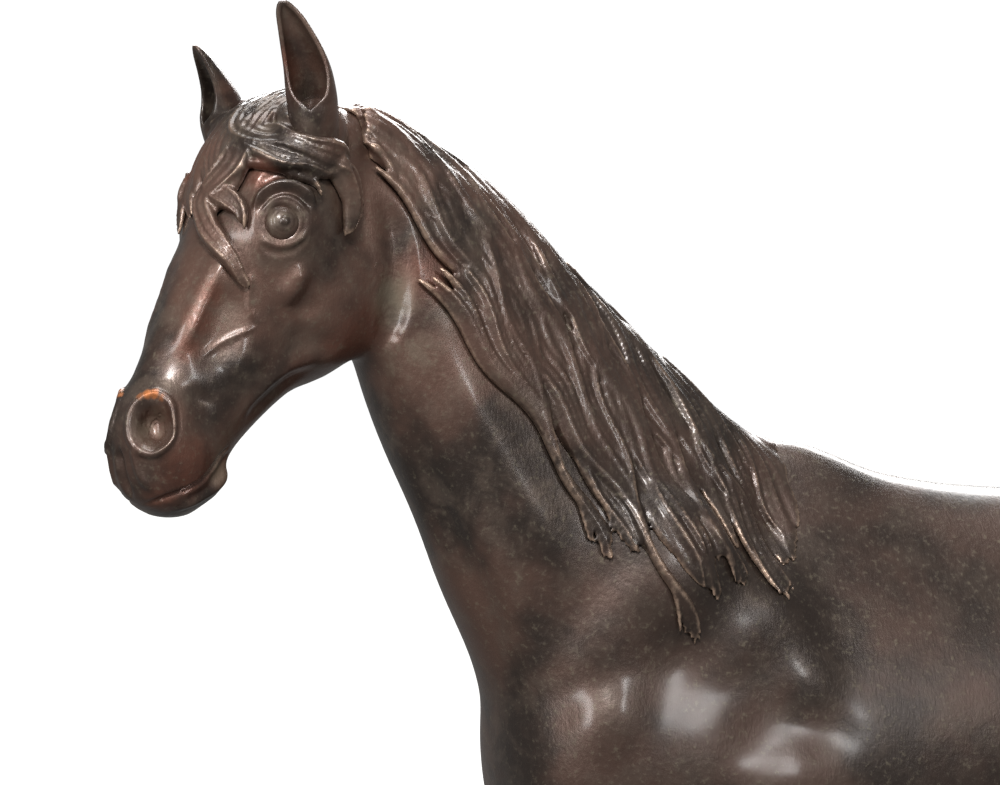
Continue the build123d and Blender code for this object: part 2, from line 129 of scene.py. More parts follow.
# Leg rings: (front x, rear x, z, half width, distance from the middle plane).
FORELEG = [
    (-150, -92, 236, 12, 26),
    (-140, -90, 208, 14.5, 28.5),
    (-131, -90, 186, 13.5, 29),
    (-124.5, -92.5, 165, 11.6, 28.2),
    (-121, -95, 145, 9.9, 27.2),
    (-118, -97.5, 126, 8.4, 26.5),
    (-116.5, -98.5, 112, 8, 26),
    (-118.2, -98.8, 101, 9.4, 26),
    (-118, -97.2, 94, 9.5, 26),
    (-115.6, -98.6, 85, 8, 26),
    (-113, -100.2, 72, 6.2, 26),
    (-112.4, -100.4, 54, 5.7, 26),
    (-113.4, -98.8, 42, 6.4, 26),
    (-114.6, -96.8, 35, 7.4, 26),
    (-115.6, -100, 28, 6.5, 26),
    (-117.6, -102.4, 21.5, 6.4, 26),
    (-121, -102.6, 15.5, 8.6, 26),
    (-122.4, -102, 14, 9.3, 26),
    (-122.6, -102.6, 12, 8.8, 26),
    (-128.6, -101.6, 1.5, 11.8, 26),
    (-128.8, -101.6, -1, 11.9, 26),
]
HINDLEG = [
    (58, 124, 246, 15, 25),
    (60, 126, 214, 16, 27),
    (70, 124, 186, 14, 27),
    (81, 122, 163, 11.6, 26),
    (95, 124.5, 144, 9.6, 25.5),
    (106, 131, 127, 8.2, 25),
    (112, 141.5, 113, 8.6, 25),
    (114.6, 142, 104, 9.2, 25),
    (116.2, 138, 93, 8.2, 25),
    (117, 133, 80, 6.6, 25),
    (116.4, 130.4, 62, 5.8, 25),
    (114.6, 130, 46, 6.2, 25),
    (112.4, 130.6, 36, 7.5, 25),
    (111, 126.4, 28.5, 6.6, 25),
    (107.6, 124.4, 22, 6.5, 25),
    (103.4, 123, 15.5, 8.8, 25),
    (102, 123, 14, 9.4, 25),
    (102, 122.6, 12, 9, 25),
    (96, 123, 1.5, 11.8, 25),
    (95.8, 123, -1, 11.9, 25),
]
STRIDE = {
    "near_foreleg": (FORELEG, LEFT, 4),
    "off_foreleg": (FORELEG, RIGHT, -12),
    "near_hindleg": (HINDLEG, LEFT, 12),
    "off_hindleg": (HINDLEG, RIGHT, -8),
}
LEG_TOP = 172.0  # above this the limb keeps its place whatever the stride
LEG_ACROSS = 26.0  # from the outer side of a leg to beyond its inner side
NECK_CUT = ((-196, 271), (-131, 333))  # low and high points of the joint faces
HEAD_CUT = ((-226, 340), (-206, 397))

# Muscles laid on both sides: (x, y, z, radius along, across, up, tilt in degrees).
MUSCLES = [
    (-128, 26, 262, 24, 13, 44, -42),
    (-104, 30, 226, 26, 13, 26, 20),
    (-165, 16, 222, 15, 14, 26, 10),
    (-158, 28, 236, 13, 9, 17, 20),
    (94, 24, 262, 40, 18, 40, 15),
    (98, 26, 222, 30, 16, 44, -8),
    (68, 27, 208, 14, 11, 22, 35),
    (-40, 14, 200, 90, 30, 34, 3),
]


# Marks on both flanks: (radius, height, [(x, z), ...]).
BODY_MARKS = [
    (13, -2.2, [(-96, 306), (-116, 284), (-134, 262), (-158, 240)]),
    (24, 1.6, [(-112, 212)]),
    (15, 1.2, [(-164, 236)]),
    (7, -2.2, [(-218, 330), (-204, 292), (-190, 262), (-184, 244)]),
    (9, 1.8, [(-212, 345), (-190, 305), (-168, 268)]),
    (14, -1.4, [(-134, 222), (-112, 234), (-88, 226)]),
    (12, 1.8, [(-176, 242), (-160, 263), (-146, 282)]),
    (13, 2.0, [(-108, 284), (-107, 255), (-102, 228)]),
    (22, -4, [(60, 252)]),
    (9, 2.2, [(62, 288)]),
    (10, -1.8, [(118, 268), (116, 240), (110, 212)]),
    (9, 1.6, [(66, 200)]),
    (8, -1.6, [(46, 215), (62, 228), (76, 240)]),
    (14, 1.4, [(-62, 200), (-20, 192), (20, 196)]),
]
FORELEG_MARKS = [
    (5, 1.2, [(-115, 98)]),
    (2.8, -1.0, [(-105, 84), (-105, 50)]),
    (4, -1.2, [(-106, 156), (-106, 116)]),
    (3.2, 0.8, [(-100, 36)]),
    (1.8, 0.6, [(-120, 15.5), (-105, 15)]),
]
HINDLEG_MARKS = [
    (4, 1.0, [(138, 112)]),
    (3.5, -1.8, [(117, 158), (122, 140), (129, 124)]),
    (4, 0.9, [(117, 106)]),
    (2.8, -1.0, [(124, 92), (122, 50)]),
    (3.2, 0.8, [(128, 37)]),
    (1.8, 0.6, [(105, 16), (120, 15)]),
]
# Masses of the head on both sides: (along, out, from the middle, radii along x, y and z).
HEAD_MASSES = [
    (45, -20, 8.5, (23.5, 13.5, 23.5)),
    (12.5, 7, 15.5, (9.5, 8.5, 10)),
]
# Planes of the head: (radius, height, sharp, [(along, out, from the middle), ...]).
HEAD_FORMS = [
    (15, 2.4, False, [(40, 6, 20)]),
    (7, -1.3, False, [(57, -30, 15), (62, -19, 16), (61, -11, 17)]),
    (4.6, 2.7, False, [(46, -4, 21.8), (50, -4.9, 21.2), (55, -5.6, 20), (60, -5.5, 18)]),
    (5.5, -1.3, False, [(52, -12, 20), (60, -12.5, 18)]),
    (5.5, 1.5, False, [(49, 13.5, 12), (61, 12.3, 9.6), (68, 11.8, 9), (77, 11, 8.6), (88, 10, 8)]),
    (9, -1.8, False, [(58, 6, 16), (72, 5, 13.6), (88, 3, 12.3)]),
    (8, 1.1, False, [(70, -7, 16), (77.4, -6.4, 14.4), (84, -4.5, 13)]),
    (5.2, 1.4, False, [(58, -29, 16), (67.3, -22, 14), (77.6, -16.5, 13.1), (91, -14, 11.5)]),
    (4.2, -1.2, False, [(66, -28, 12), (74, -22.5, 12), (82, -19, 11.5), (91, -17.5, 10)]),
    (6.5, -1.6, False, [(90, 0, 12), (95, -0.5, 11.4)]),
    (13, 3.0, False, [(104, 7, 9)]),
    (10, 1.4, False, [(110, -5, 11.5)]),
    (8, 1.8, False, [(107, -21, 6)]),
    (6, -2.2, False, [(14, -15, 18), (23, -26, 20), (33, -34, 20), (42, -40, 18), (52, -44, 13)]),
]
HEAD_LINES = [
    (1.7, 0.55, True, [(56, 7, 17.4), (60.5, 4, 16), (64.5, 1.1, 15.6), (67.2, -4, 16.2)]),
    (1.8, 0.45, True, [(67, -4.2, 16.3), (70.5, -1.4, 15), (75, 2, 13.6), (84, 6, 12)]),
    (1.8, 0.25, False, [(52, 13, 12), (63, 11.4, 10.2), (72, 10.6, 9.6), (88, 9.2, 8.8)]),
    (1.4, -1.8, True, [
        (96.3, -17.6, 10), (101.4, -15.4, 11.2), (106, -14, 11.4), (110, -12.4, 11.7), (113.6, -10, 11.6),
        (117, -7.8, 10.6), (119.4, -6, 8.6), (121, -5, 5), (121.8, -4.8, 0),
    ]),
    (2.4, -0.8, False, [(98, -19.6, 9.6), (101.5, -18.2, 10.6), (106, -17, 10.9), (111, -15, 11)]),
    (2.4, 1.1, False, [
        (99.5, -22.4, 8.8), (106, -20.6, 9.6), (112, -17.8, 9.8), (117, -13, 8.5), (119.8, -10.5, 5),
    ]),
    (1.8, 0.9, False, [
        (111, 9.4, 5.4), (114.5, 6.4, 5.6), (117.5, 3.5, 6), (119.3, 0.5, 6.8), (120.4, -3.2, 7.8),
    ]),
    (2.4, -0.9, False, [(112, 8.6, 0), (117.5, 4.6, 0), (120.5, 0, 0), (121.6, -3.4, 0)]),
]
NOSTRIL = (104.6, 7.8, 8.2)
NOSTRIL_HOLLOW = (9.5, -2.6)  # radius, height
NOSTRIL_PIT = (6.4, -4.8)
NOSTRIL_FLARE = (1.8, 0.9)
NOSTRIL_WING = (1.5, 1.2)
NOSTRIL_RIM = [
    (99, 11.6, 5), (97.2, 9.9, 7), (98.1, 6.5, 9.5), (102.2, 3.9, 10.9), (107.6, 2.6, 11.1),
    (111.3, 3.7, 9.8), (112.6, 6.4, 7), (110.9, 9.5, 4.6), (107.1, 11.6, 3.4), (102.5, 12.4, 3.4),
    (99, 11.6, 5),
]
# Nostril, corner of the mouth and face vein, worked finer: (along, out, from the middle, radius).
FINE_PLACES = [(104, 4, 8, 15), (108, -14, 7, 11), (68, 1, 15, 15)]
EYE = (41.2, 7.1, 20.6)
EYE_SOCKET = (8.4, -2.6)  # radius, height
LID = (5.0, 1.4, 1.7)  # distance from the middle of the eye, radius, height
EYE_PROFILE = [
    (0.001, 3.6), (0.9, 3.45), (1.35, 3.1), (1.6, 3.0), (2.2, 2.85), (2.7, 2.65), (3.0, 2.4), (3.3, 2.3),
    (4.2, 1.6), (5.2, 0.1), (5.7, -2.0), (0.001, -3.2),
]
# Folds round the eye: (distance from its middle, start and end in degrees, radius, height).
EYE_FOLDS = [
    (7.0, 20, 165, 1.5, 0.5),
    (8.6, 10, 175, 1.6, -0.6),
    (11.0, 20, 168, 2.4, 2.2),
    (14.6, 45, 150, 3.2, -1.2),
    (7.4, 190, 345, 1.8, 0.45),
    (9.4, 205, 325, 2.0, -0.5),
]
# Top line of the mane: (x, z). Tips of the tufts along its lower edge, and of tufts that end over it.
CREST = [
    (-231, 406), (-216, 401.5), (-202.9, 395.3), (-187.9, 385.6), (-169.9, 370.3), (-151.9, 350.9),
    (-137, 335.6), (-122, 323.1), (-102.5, 312), (-92, 309),
]
MANE_TIPS = [
    (-225, 392), (-218, 381), (-203, 372), (-194, 362), (-192, 351), (-184, 340), (-174, 324), (-174, 313),
    (-164, 304), (-161, 278), (-154, 280), (-138, 255), (-132, 267), (-123, 270), (-109, 266), (-103, 282),
]
INNER_TIPS = [
    (-205, 380), (-196, 366), (-186, 352), (-180, 338), (-172, 345), (-170, 326), (-160, 330), (-163, 315),
    (-150, 318), (-155, 300), (-145, 300), (-140, 288), (-130, 302), (-135, 280), (-120, 290), (-112, 292),
]
HAIR_STEP = 2.5
HAIR_WAVE = 13.0  # degrees to either side
LOCK_ROUND = 12
# Forelock: (half width, depth, lift, strands, [(along, out, from the middle to the left), ...]).
FORELOCK = [
    (6.5, 3.0, 0.9, 1, [(-4, -2, 3), (4, 9, 5), (14, 15, 8), (22, 16, 12), (24, 12, 17)]),
    (6.5, 3.0, 0.9, 1, [(-4, -2, -3), (6, 10, -5), (16, 16, -9), (28, 15, -13), (40, 13, -15)]),
    (6.5, 3.2, 1.0, 1, [(-4, -1, 0), (8, 12, 0), (20, 18, 1), (34, 18.5, 3), (42, 18, 3)]),
    (4, 2.2, 0.4, 1, [(2, 6, 5), (10, 12, 9), (14, 11, 14), (15, 5, 18), (18, -3, 20)]),
    (5, 2.8, 0.8, 1, [(12, 14, -4), (22, 17, -6), (32, 17, -8), (42, 16, -8)]),
    (2.1, 2.6, 2.2, 3, [
        (22, 18, 3), (31.6, 18, 7), (37.9, 18, 4.1), (42.2, 17.8, 1.5), (47.6, 16.8, 5), (53.7, 13, 10.5),
        (58.5, 8, 14.4), (62.5, 2.5, 17),
    ]),
    (2.0, 2.5, 2.4, 3, [
        (26, 18, 6), (33, 18.4, 4), (38, 18.2, 2.6), (40.5, 16.7, 8.8), (43.8, 14.3, 12.9),
        (48.5, 12, 14.5),
    ]),
    (1.6, 1.7, 1.0, 3, [
        (14, 15, -3), (21, 17, -7), (27.6, 17.3, -9.4), (35.6, 16.6, -10.6), (40.8, 15.6, -9.6),
        (48.5, 16.5, -4.4),
    ]),
    (1.6, 1.7, 1.0, 3, [
        (16, 15, -8), (24.5, 16.5, -11), (31.2, 16, -13), (37.5, 15, -14), (44.4, 13.5, -13.4),
        (51, 13.2, -11.5),
    ]),
    (2.3, 2.8, 2.2, 4, [
        (6, 11, -1), (13, 15.5, 0), (20, 18, 3), (21.9, 16.3, 10.1), (18.5, 11.1, 15.5),
        (16.6, 5.1, 18.4), (17.8, -1.2, 20), (21.7, -9.5, 19.6), (26, -14, 19), (33, -14.5, 19.4),
    ]),
    (2.0, 2.5, 2.0, 3, [
        (20, 17.5, 2), (25, 17, 9), (25.5, 11.8, 17.3), (22.8, 6, 20.2), (22.4, 0.3, 21.4),
        (24.9, -5.8, 21.4), (29.5, -10, 20.8),
    ]),
    (1.5, 1.8, 1.2, 2, [
        (26, 18, 5), (29.5, 17, 10), (28.2, 14.3, 15.6), (26.8, 9.4, 19.8), (27.5, 3.5, 22.4),
        (31, -1.5, 23.2),
    ]),
    (1.8, 2.1, 1.6, 3, [
        (0, 4, -3), (6.1, 9.9, -3.5), (10, 12.9, -4), (16, 15.6, -3), (23.9, 18.5, 1), (28.6, 17.8, 8.2),
        (30, 16, 12.7),
    ]),
    (1.6, 1.6, 1.4, 2, [
        (2, 6, 0), (10, 13, -4), (18.2, 16.3, -7), (24, 17.5, -8), (30, 18, -6.7), (36.4, 18.4, -3.4),
        (43.5, 17.7, 1.5),
    ]),
    (1.5, 1.6, 1.0, 3, [
        (1, 5, 3), (6, 10, 6), (11.5, 12.6, 10.5), (14, 9.4, 15.1), (15, 5.1, 18.2), (18.5, -1.5, 20),
    ]),
    (1.6, 1.6, 1.0, 3, [
        (4, 8, -5), (10, 12, -9), (18, 13.5, -14), (26, 12.5, -17.5), (34, 11, -19.5), (43, 9.5, -19.8),
    ]),
    (1.6, 1.6, 1.2, 3, [(6, 10, -4), (12, 13, -9), (15.5, 8, -15.5), (18, 1, -19.5), (23, -7, -20.5)]),
    (1.9, 2.4, 2.4, 4, [
        (2, 6, 2), (10, 13, 4), (17, 17, 4.5), (24, 18, 5.5), (30, 18, 5), (36, 18, 2.5), (42, 17.5, 0.5),
        (47, 16.8, -1),
    ]),
    (1.9, 2.4, 2.2, 4, [
        (4, 9, -1), (12, 14.5, -2), (20, 17.5, -2.5), (28, 18, -1.5), (34, 18, 0.5), (40, 17.8, 2.5),
        (46, 17, 3),
    ]),
    (1.9, 2.3, 2.0, 3, [
        (18, 16.5, 5), (25, 17.5, 8), (31, 17.5, 9), (36, 17, 7.5), (41, 17, 6.5), (46, 16, 8.5),
    ]),
    (2.0, 2.5, 2.4, 4, [
        (12, 15, 4), (20, 17.5, 6.5), (27, 18, 8), (34, 17.8, 7.5), (40, 17.2, 6), (46, 16.5, 5),
    ]),
    (2.2, 3.0, 2.6, 3, [(17.5, 3, 18.8), (22, -4, 20.5), (27, -9, 20.5), (32, -12, 20), (36, -12.5, 20.5)]),
]
# Tail rings: (x, z, half breadth, half depth). Its locks are set round it by the golden part of a turn.
TAIL_LOCKS = 46
GOLDEN_PART = 0.381966
TAIL = [
    (133, 283, 5.5, 6), (146, 290, 7, 7.5), (157, 284, 9, 8), (163, 266, 11, 8.5), (166, 236, 13, 9.5),
    (165, 200, 13, 10), (161, 165, 11.5, 9), (157.5, 135, 8, 6.5), (155, 110, 4, 3.5),
]
# Ear rings: (height, half depth, half breadth, lean forwards, lean outwards, half turn in degrees).
EAR = [
    (-10, 6.6, 6.4, -2, -3, 188), (-4, 6.8, 6.4, -0.4, -1, 188), (0, 6.9, 6.4, 0, 0, 188),
    (3.5, 6.9, 6.5, 0.6, 0.3, 187), (5.5, 6.9, 6.5, 1.0, 0.5, 154), (8.5, 6.7, 6.4, 1.7, 0.8, 134),
    (15, 5.9, 5.9, 3.2, 1.2, 116), (22, 4.5, 4.8, 6.0, 1.4, 106), (27, 3.3, 3.6, 8.4, 1.4, 100),
    (30.5, 2.3, 2.6, 10.2, 1.2, 96), (32.3, 1.4, 1.5, 11.2, 1.0, 92), (33.2, 0.4, 0.4, 11.6, 1.0, 90),
]
EAR_SEAT = (-251.8, 19.0, 399.0)  # x, distance from the middle plane, z, before the head is turned
EAR_WALL = 1.4
FAR_EAR = 0.75  # the right ear's height as a share of the left one's
FAR_EAR_DROP = 3.0


# ------------------------------------------------------------------ curves and small helpers
def smooth_rows(rows, step, reach=3):
    """Rows of numbers joined by a smooth curve: new rows about every step, measured on the first columns."""
    rows = np.array(rows, float)
    gaps = np.maximum(np.linalg.norm(np.diff(rows[:, :reach], axis=0), axis=1), 1e-6)
    slopes = np.diff(rows, axis=0) / gaps[:, None]
    before, after = gaps[:-1, None], gaps[1:, None]
    inner = (slopes[1:] * before + slopes[:-1] * after) / (before + after)
    tangents = np.vstack([slopes[:1], inner, slopes[-1:]])
    spans = []
    for i, gap in enumerate(gaps):
        count = max(1, round(gap / step))
        s = (np.arange(count) / count)[:, None]
        rise = s * s * (3 - 2 * s)
        spans.append(
            rows[i] + rise * (rows[i + 1] - rows[i])
            + gap * (s * (1 - s) ** 2 * tangents[i] - s * s * (1 - s) * tangents[i + 1])
        )
    return np.vstack([*spans, rows[-1:]])


def head_place(along, out, side=0.0):
    """A drawn point of the unturned head: distance from the poll, out towards the face, and to the side."""
    return POLL + HEAD_DOWN * along + HEAD_OUT * out + Vector((0, side, 0))


def turned(point):
    """A point of the unturned head, turned with it to the horse's left."""
    return POLL + Matrix.Rotation(HEAD_TURN, 3, "Z") @ (Vector(point) - POLL)


def leg_rings(rings, side, stride):
    """Leg rings as body rings, swung from LEG_TOP so that the hoof moves by the stride."""
    placed = []
    for front, rear, z, half_width, apart in rings:
        swing = stride * max(0.0, LEG_TOP - z) / LEG_TOP
        placed.append((front + swing, z, rear + swing, z, half_width, 0, side * apart))
    return placed


def head_rings():
    """The head's rings as body rings, jaw side low and face side high."""
    placed = []
    for along, face, jaw, half_width, lean in HEAD:
        low, high = head_place(along, jaw), head_place(along, face)
        placed.append((low.x, low.z, high.x, high.z, half_width, lean, 0))
    return placed


# ------------------------------------------------------------------ solids in clay
def add_form(bm, rings):
    """A closed solid through smoothed body rings."""
    loops = []
    for low_x, low_z, high_x, high_z, half_width, lean, apart in smooth_rows(rings, RING_STEP, 4):
        low, high = Vector((low_x, apart, low_z)), Vector((high_x, apart, high_z))
        middle, rise = (low + high) / 2, (high - low) / 2
        circle = bmesh.ops.create_circle(bm, segments=RING_POINTS, radius=1)["verts"]
        for vert in circle:
            up, across = vert.co.x, vert.co.y
            vert.co = middle + rise * up + Vector((0, half_width * across * (1 - lean * up), 0))
        loops.append(circle)
    edges = [list({edge for vert in loop for edge in vert.link_edges}) for loop in loops]
    for one, other in zip(edges[:-1], edges[1:]):
        bmesh.ops.bridge_loops(bm, edges=one + other)
    bmesh.ops.holes_fill(bm, edges=edges[0] + edges[-1], sides=0)


def add_ball(bm, middle, radii, tilt=0.0):
    """An ellipsoid, tilted about the cross axis."""
    place = Matrix.Translation(middle) @ Matrix.Rotation(math.radians(tilt), 4, "Y")
    bmesh.ops.create_icosphere(bm, subdivisions=4, radius=1, matrix=place @ Matrix.Diagonal((*radii, 1)))


def mesh_of(bm, name):
    """A mesh from a bmesh, with its faces turned outwards and shaded smooth."""
    bmesh.ops.recalc_face_normals(bm, faces=bm.faces)
    for face in bm.faces:
        face.smooth = len(face.verts) <= 4
    mesh = bpy.data.meshes.new(name)
    bm.to_mesh(mesh)
    bm.free()
    return mesh


def applied(mesh, name, modifiers):
    """The mesh with modifiers applied: (type, settings) pairs."""
    piece = bpy.data.objects.new(name, mesh)
    bpy.context.scene.collection.objects.link(piece)
    for kind, settings in modifiers:
        modifier = piece.modifiers.new(kind.title(), kind)
        for setting, value in settings.items():
            setattr(modifier, setting, value)
    evaluated = piece.evaluated_get(bpy.context.evaluated_depsgraph_get())
    result = bpy.data.meshes.new_from_object(evaluated)
    bpy.data.objects.remove(piece)
    return result


def fused(bm, name, grain):
    """One closed skin round everything in the bmesh."""
    remesh = {"mode": "VOXEL", "voxel_size": grain, "use_smooth_shade": True}
    return applied(mesh_of(bm, name), name, [("REMESH", remesh)])


class Clay:
    """A closed mesh that is pushed and smoothed by its points."""

    def __init__(self, mesh):
        self.mesh = mesh
        self.read()

    def read(self):
        count = len(self.mesh.vertices)
        self.points = np.empty(count * 3)
        self.mesh.vertices.foreach_get("co", self.points)
        self.points.shape = (count, 3)
        self.edges = np.empty(len(self.mesh.edges) * 2, int)
        self.mesh.edges.foreach_get("vertices", self.edges)
        self.edges.shape = (-1, 2)
        self.degree = np.bincount(self.edges.ravel(), minlength=count)[:, None]
        self.settle()

    def settle(self):
        """Writes the points back and takes new normals and a new surface to aim at."""
        self.mesh.vertices.foreach_set("co", self.points.ravel())
        self.mesh.update()
        self.normals = np.empty(len(self.points) * 3)
        self.mesh.vertices.foreach_get("normal", self.normals)
        self.normals.shape = (-1, 3)
        bm = bmesh.new()
        bm.from_mesh(self.mesh)
        self.surface = BVHTree.FromBMesh(bm)
        bm.free()

    def around(self, values):
        """Each point's mean of its neighbours' values."""
        first, second = self.edges.T
        total = np.empty_like(values)
        for k in range(values.shape[1]):
            total[:, k] = np.bincount(first, values[second, k], len(values))
            total[:, k] += np.bincount(second, values[first, k], len(values))
        return total / self.degree

    def relax(self, rounds, share=0.5, keep_size=False):
        """Smooths the points, evenly or by a share for each point."""
        for _ in range(rounds):
            self.points += share * (self.around(self.points) - self.points)
            if keep_size:
                self.points -= SPRING_BACK * share * (self.around(self.points) - self.points)

    def stroke(self, path, radius, height, sharp=False, fade=0.0):
        """Raises a band along a path of surface points, or sinks it. Fade thins its ends."""
        path = np.array(path, float)
        if len(path) == 1:
            path = np.vstack([path, path + 1e-3])
        near = np.all((self.points > path.min(0) - radius) & (self.points < path.max(0) + radius), axis=1)
        index = np.flatnonzero(near)
        if not len(index):
            return
        spots = self.points[index]
        best = np.full(len(spots), np.inf)
        share = np.zeros(len(spots))
        for i, (start, end) in enumerate(zip(path[:-1], path[1:])):
            way = end - start
            t = np.clip((spots - start) @ way / max(way @ way, 1e-9), 0, 1)
            gap = np.linalg.norm(spots - start - t[:, None] * way, axis=1)
            closer = gap < best
            best[closer] = gap[closer]
            share[closer] = (i + t[closer]) / (len(path) - 1)
        width = np.full(len(spots), float(radius))
        amount = np.full(len(spots), float(height))
        if fade:
            end = np.clip(np.minimum(share, 1 - share) / fade, 0, 1)
            taper = end * end * (3 - 2 * end)
            amount *= taper
            width *= 0.4 + 0.6 * taper
        close = np.clip(1 - best / width, 0, 1)
        profile = close ** 1.5 if sharp else (1 - np.clip(best / width, 0, 1) ** 2) ** 2
        self.points[index] += self.normals[index] * (amount * profile)[:, None]

    def near(self, point):
        """The nearest point of the skin."""
        return self.surface.find_nearest(Vector(point))[0]

    def side_hit(self, x, z, side):
        """The surface point at (x, z), looking in from one side."""
        return self.surface.ray_cast(Vector((x, side * OUTSIDE, z)), Vector((0, -side, 0)))[0]

    def on_side(self, spots, side, step=1.5):
        """A smooth path of surface points through (x, z) places, seen from one side."""
        rows = smooth_rows(spots, step, 2) if len(spots) > 1 else np.array(spots, float)
        hits = [self.side_hit(x, z, side) for x, z in rows]
        return [hit for hit in hits if hit is not None]

    def mark(self, spots, radius, height, fade):
        """A stroke on both sides through (x, z) places seen from the side."""
        for side in (LEFT, RIGHT):
            path = self.on_side(spots, side)
            if path:
                self.stroke(path, radius, height, fade=fade)

    def refine(self, middle, radius):
        """Halves the faces inside a ball, and smooths the finer points."""
        bm = bmesh.new()
        bm.from_mesh(self.mesh)
        middle = Vector(middle)
        inside = [e for e in bm.edges if ((e.verts[0].co + e.verts[1].co) / 2 - middle).length < radius]
        bmesh.ops.subdivide_edges(bm, edges=inside, cuts=1, use_grid_fill=True)
        bm.to_mesh(self.mesh)
        bm.free()
        self.read()
        gap = np.linalg.norm(self.points - np.array(middle), axis=1)
        share = np.clip((radius + 2 - gap) / 4, 0, 1)[:, None] * 0.5
        self.relax(3, share, keep_size=True)
        self.settle()


# ------------------------------------------------------------------ the horse's skin
def rough_horse():
    """Every mass of the horse fused into one skin."""
    bm = bmesh.new()
    add_form(bm, head_rings())
    for along, out, apart, radii in HEAD_MASSES:
        for side in (LEFT, RIGHT):
            add_ball(bm, head_place(along, out, side * apart), radii)
    bmesh.ops.rotate(bm, verts=bm.verts, cent=POLL, matrix=Matrix.Rotation(HEAD_TURN, 3, "Z"))
    for rings in (TORSO, NECK):
        add_form(bm, rings)
    for rings, side, stride in STRIDE.values():
        add_form(bm, leg_rings(rings, side, stride))
    for x, y, z, along, across, up, tilt in MUSCLES:
        for side in (LEFT, RIGHT):
            add_ball(bm, (x, side * y, z), (along, across, up), tilt)
    bmesh.ops.recalc_face_normals(bm, faces=bm.faces)
    return fused(bm, "horse_skin", CLAY_GRAIN)


def on_head(points):
    """1 on the head and 0 behind its joint face, with a soft edge."""
    low_x, low_z = HEAD_CUT[0]
    way = joint_way(HEAD_CUT)
    ahead = (points[:, 0] - low_x) * way.x + (points[:, 2] - low_z) * way.z
    return np.clip((ahead - 1) / 10, 0, 1)


def body_share(points):
    """How strongly each point is smoothed: fully on the trunk, less on the head and on the lower legs."""
    legs = np.clip((points[:, 2] - 120) / 60, 0, 1)
    return (0.08 + 0.42 * legs * (1 - on_head(points)))[:, None]


def model_body(clay):
    """The trunk's, the neck's and the legs' muscles, hollows and tendons."""
    clay.relax(4, 0.5, keep_size=True)
    clay.relax(40, body_share(clay.points))
    clay.settle()
    for radius, height, spots in BODY_MARKS:
        clay.mark(spots, radius, height, fade=0.35 if len(spots) > 1 else 0)
    clay.relax(14, body_share(clay.points))
    clay.settle()
    for rings, side, stride in STRIDE.values():
        marks = FORELEG_MARKS if rings is FORELEG else HINDLEG_MARKS
        for radius, height, spots in marks:
            placed = [(x + stride * max(0.0, LEG_TOP - z) / LEG_TOP, z) for x, z in spots]
            outer = clay.on_side(placed, side)
            inner = [clay.near(Vector((spot.x, spot.y - side * LEG_ACROSS, spot.z))) for spot in outer]
            for path in (outer, inner):
                clay.stroke(path, radius, height, fade=0.3 if len(spots) > 1 else 0)
    clay.settle()


def head_path(clay, spots, side):
    """A smooth path on the skin through head measures: along, out, and from the head's middle plane."""
    rows = smooth_rows(spots, 1.2) if len(spots) > 1 else np.array(spots, float)
    return [clay.near(turned(head_place(along, out, side * apart))) for along, out, apart in rows]


def eye_place(clay, side):
    """The middle of an eye on the skin, its outward direction, and directions to the nose and up."""
    along, out, apart = EYE
    middle = clay.near(turned(head_place(along, out, side * apart)))
    outward = turned(POLL + Vector((-0.42, side * 0.89, 0.17))) - POLL
    outward.normalize()
    up = (Vector((0, 0, 1)) - outward * outward.z).normalized()
    nose = up.cross(outward) * side
    return middle, outward, nose.normalized(), up


def eye_ring(clay, side, radius, start, end):
    """Skin points on an arc round an eye, from one angle to another: 0 is towards the nose and 90 is up."""
    middle, _, nose, up = eye_place(clay, side)
    angles = np.radians(np.arange(start, end + 1, 6))
    return [clay.near(middle + nose * math.cos(a) * radius + up * math.sin(a) * radius) for a in angles]


def face_share(points):
    """How strongly each point is smoothed when only the head is worked on."""
    return 0.5 * on_head(points)[:, None]


def model_head(clay):
    """The planes of the head, then the eyes, nostrils, lips and veins."""
    for radius, height, sharp, spots in HEAD_FORMS:
        for side in (LEFT, RIGHT):
            clay.stroke(head_path(clay, spots, side), radius, height, sharp, 0.3 if len(spots) > 1 else 0)
    clay.relax(3, face_share(clay.points))
    clay.settle()
    clay.refine(turned(head_place(62, -8)), 66)
    for side in (LEFT, RIGHT):
        clay.refine(eye_place(clay, side)[0], 15)
        for along, out, apart, radius in FINE_PLACES:
            clay.refine(turned(head_place(along, out, side * apart)), radius)
    for radius, height, sharp, spots in HEAD_LINES:
        for side in (LEFT, RIGHT):
            clay.stroke(head_path(clay, spots, side), radius, height, sharp, 0.25)
    for side in (LEFT, RIGHT):
        clay.stroke(head_path(clay, [NOSTRIL], side), *NOSTRIL_HOLLOW)
    clay.settle()
    for side in (LEFT, RIGHT):
        middle = head_path(clay, [NOSTRIL], side)[0]
        clay.stroke([middle, middle + Vector((0.6, 0, -2.2))], *NOSTRIL_PIT)
        rim = head_path(clay, NOSTRIL_RIM, side)
        clay.stroke(rim, *NOSTRIL_FLARE)
        clay.stroke(rim[: len(rim) * 2 // 3], *NOSTRIL_WING, fade=0.35)
    for side in (LEFT, RIGHT):
        eye = eye_place(clay, side)[0]
        clay.stroke([eye], *EYE_SOCKET)
        for distance, start, end, radius, height in EYE_FOLDS:
            clay.stroke(eye_ring(clay, side, distance, start, end), radius, height, fade=0.25)
        distance, radius, height = LID
        clay.stroke(eye_ring(clay, side, distance, 0, 360), radius, height)
    clay.relax(1, face_share(clay.points))
    clay.settle()


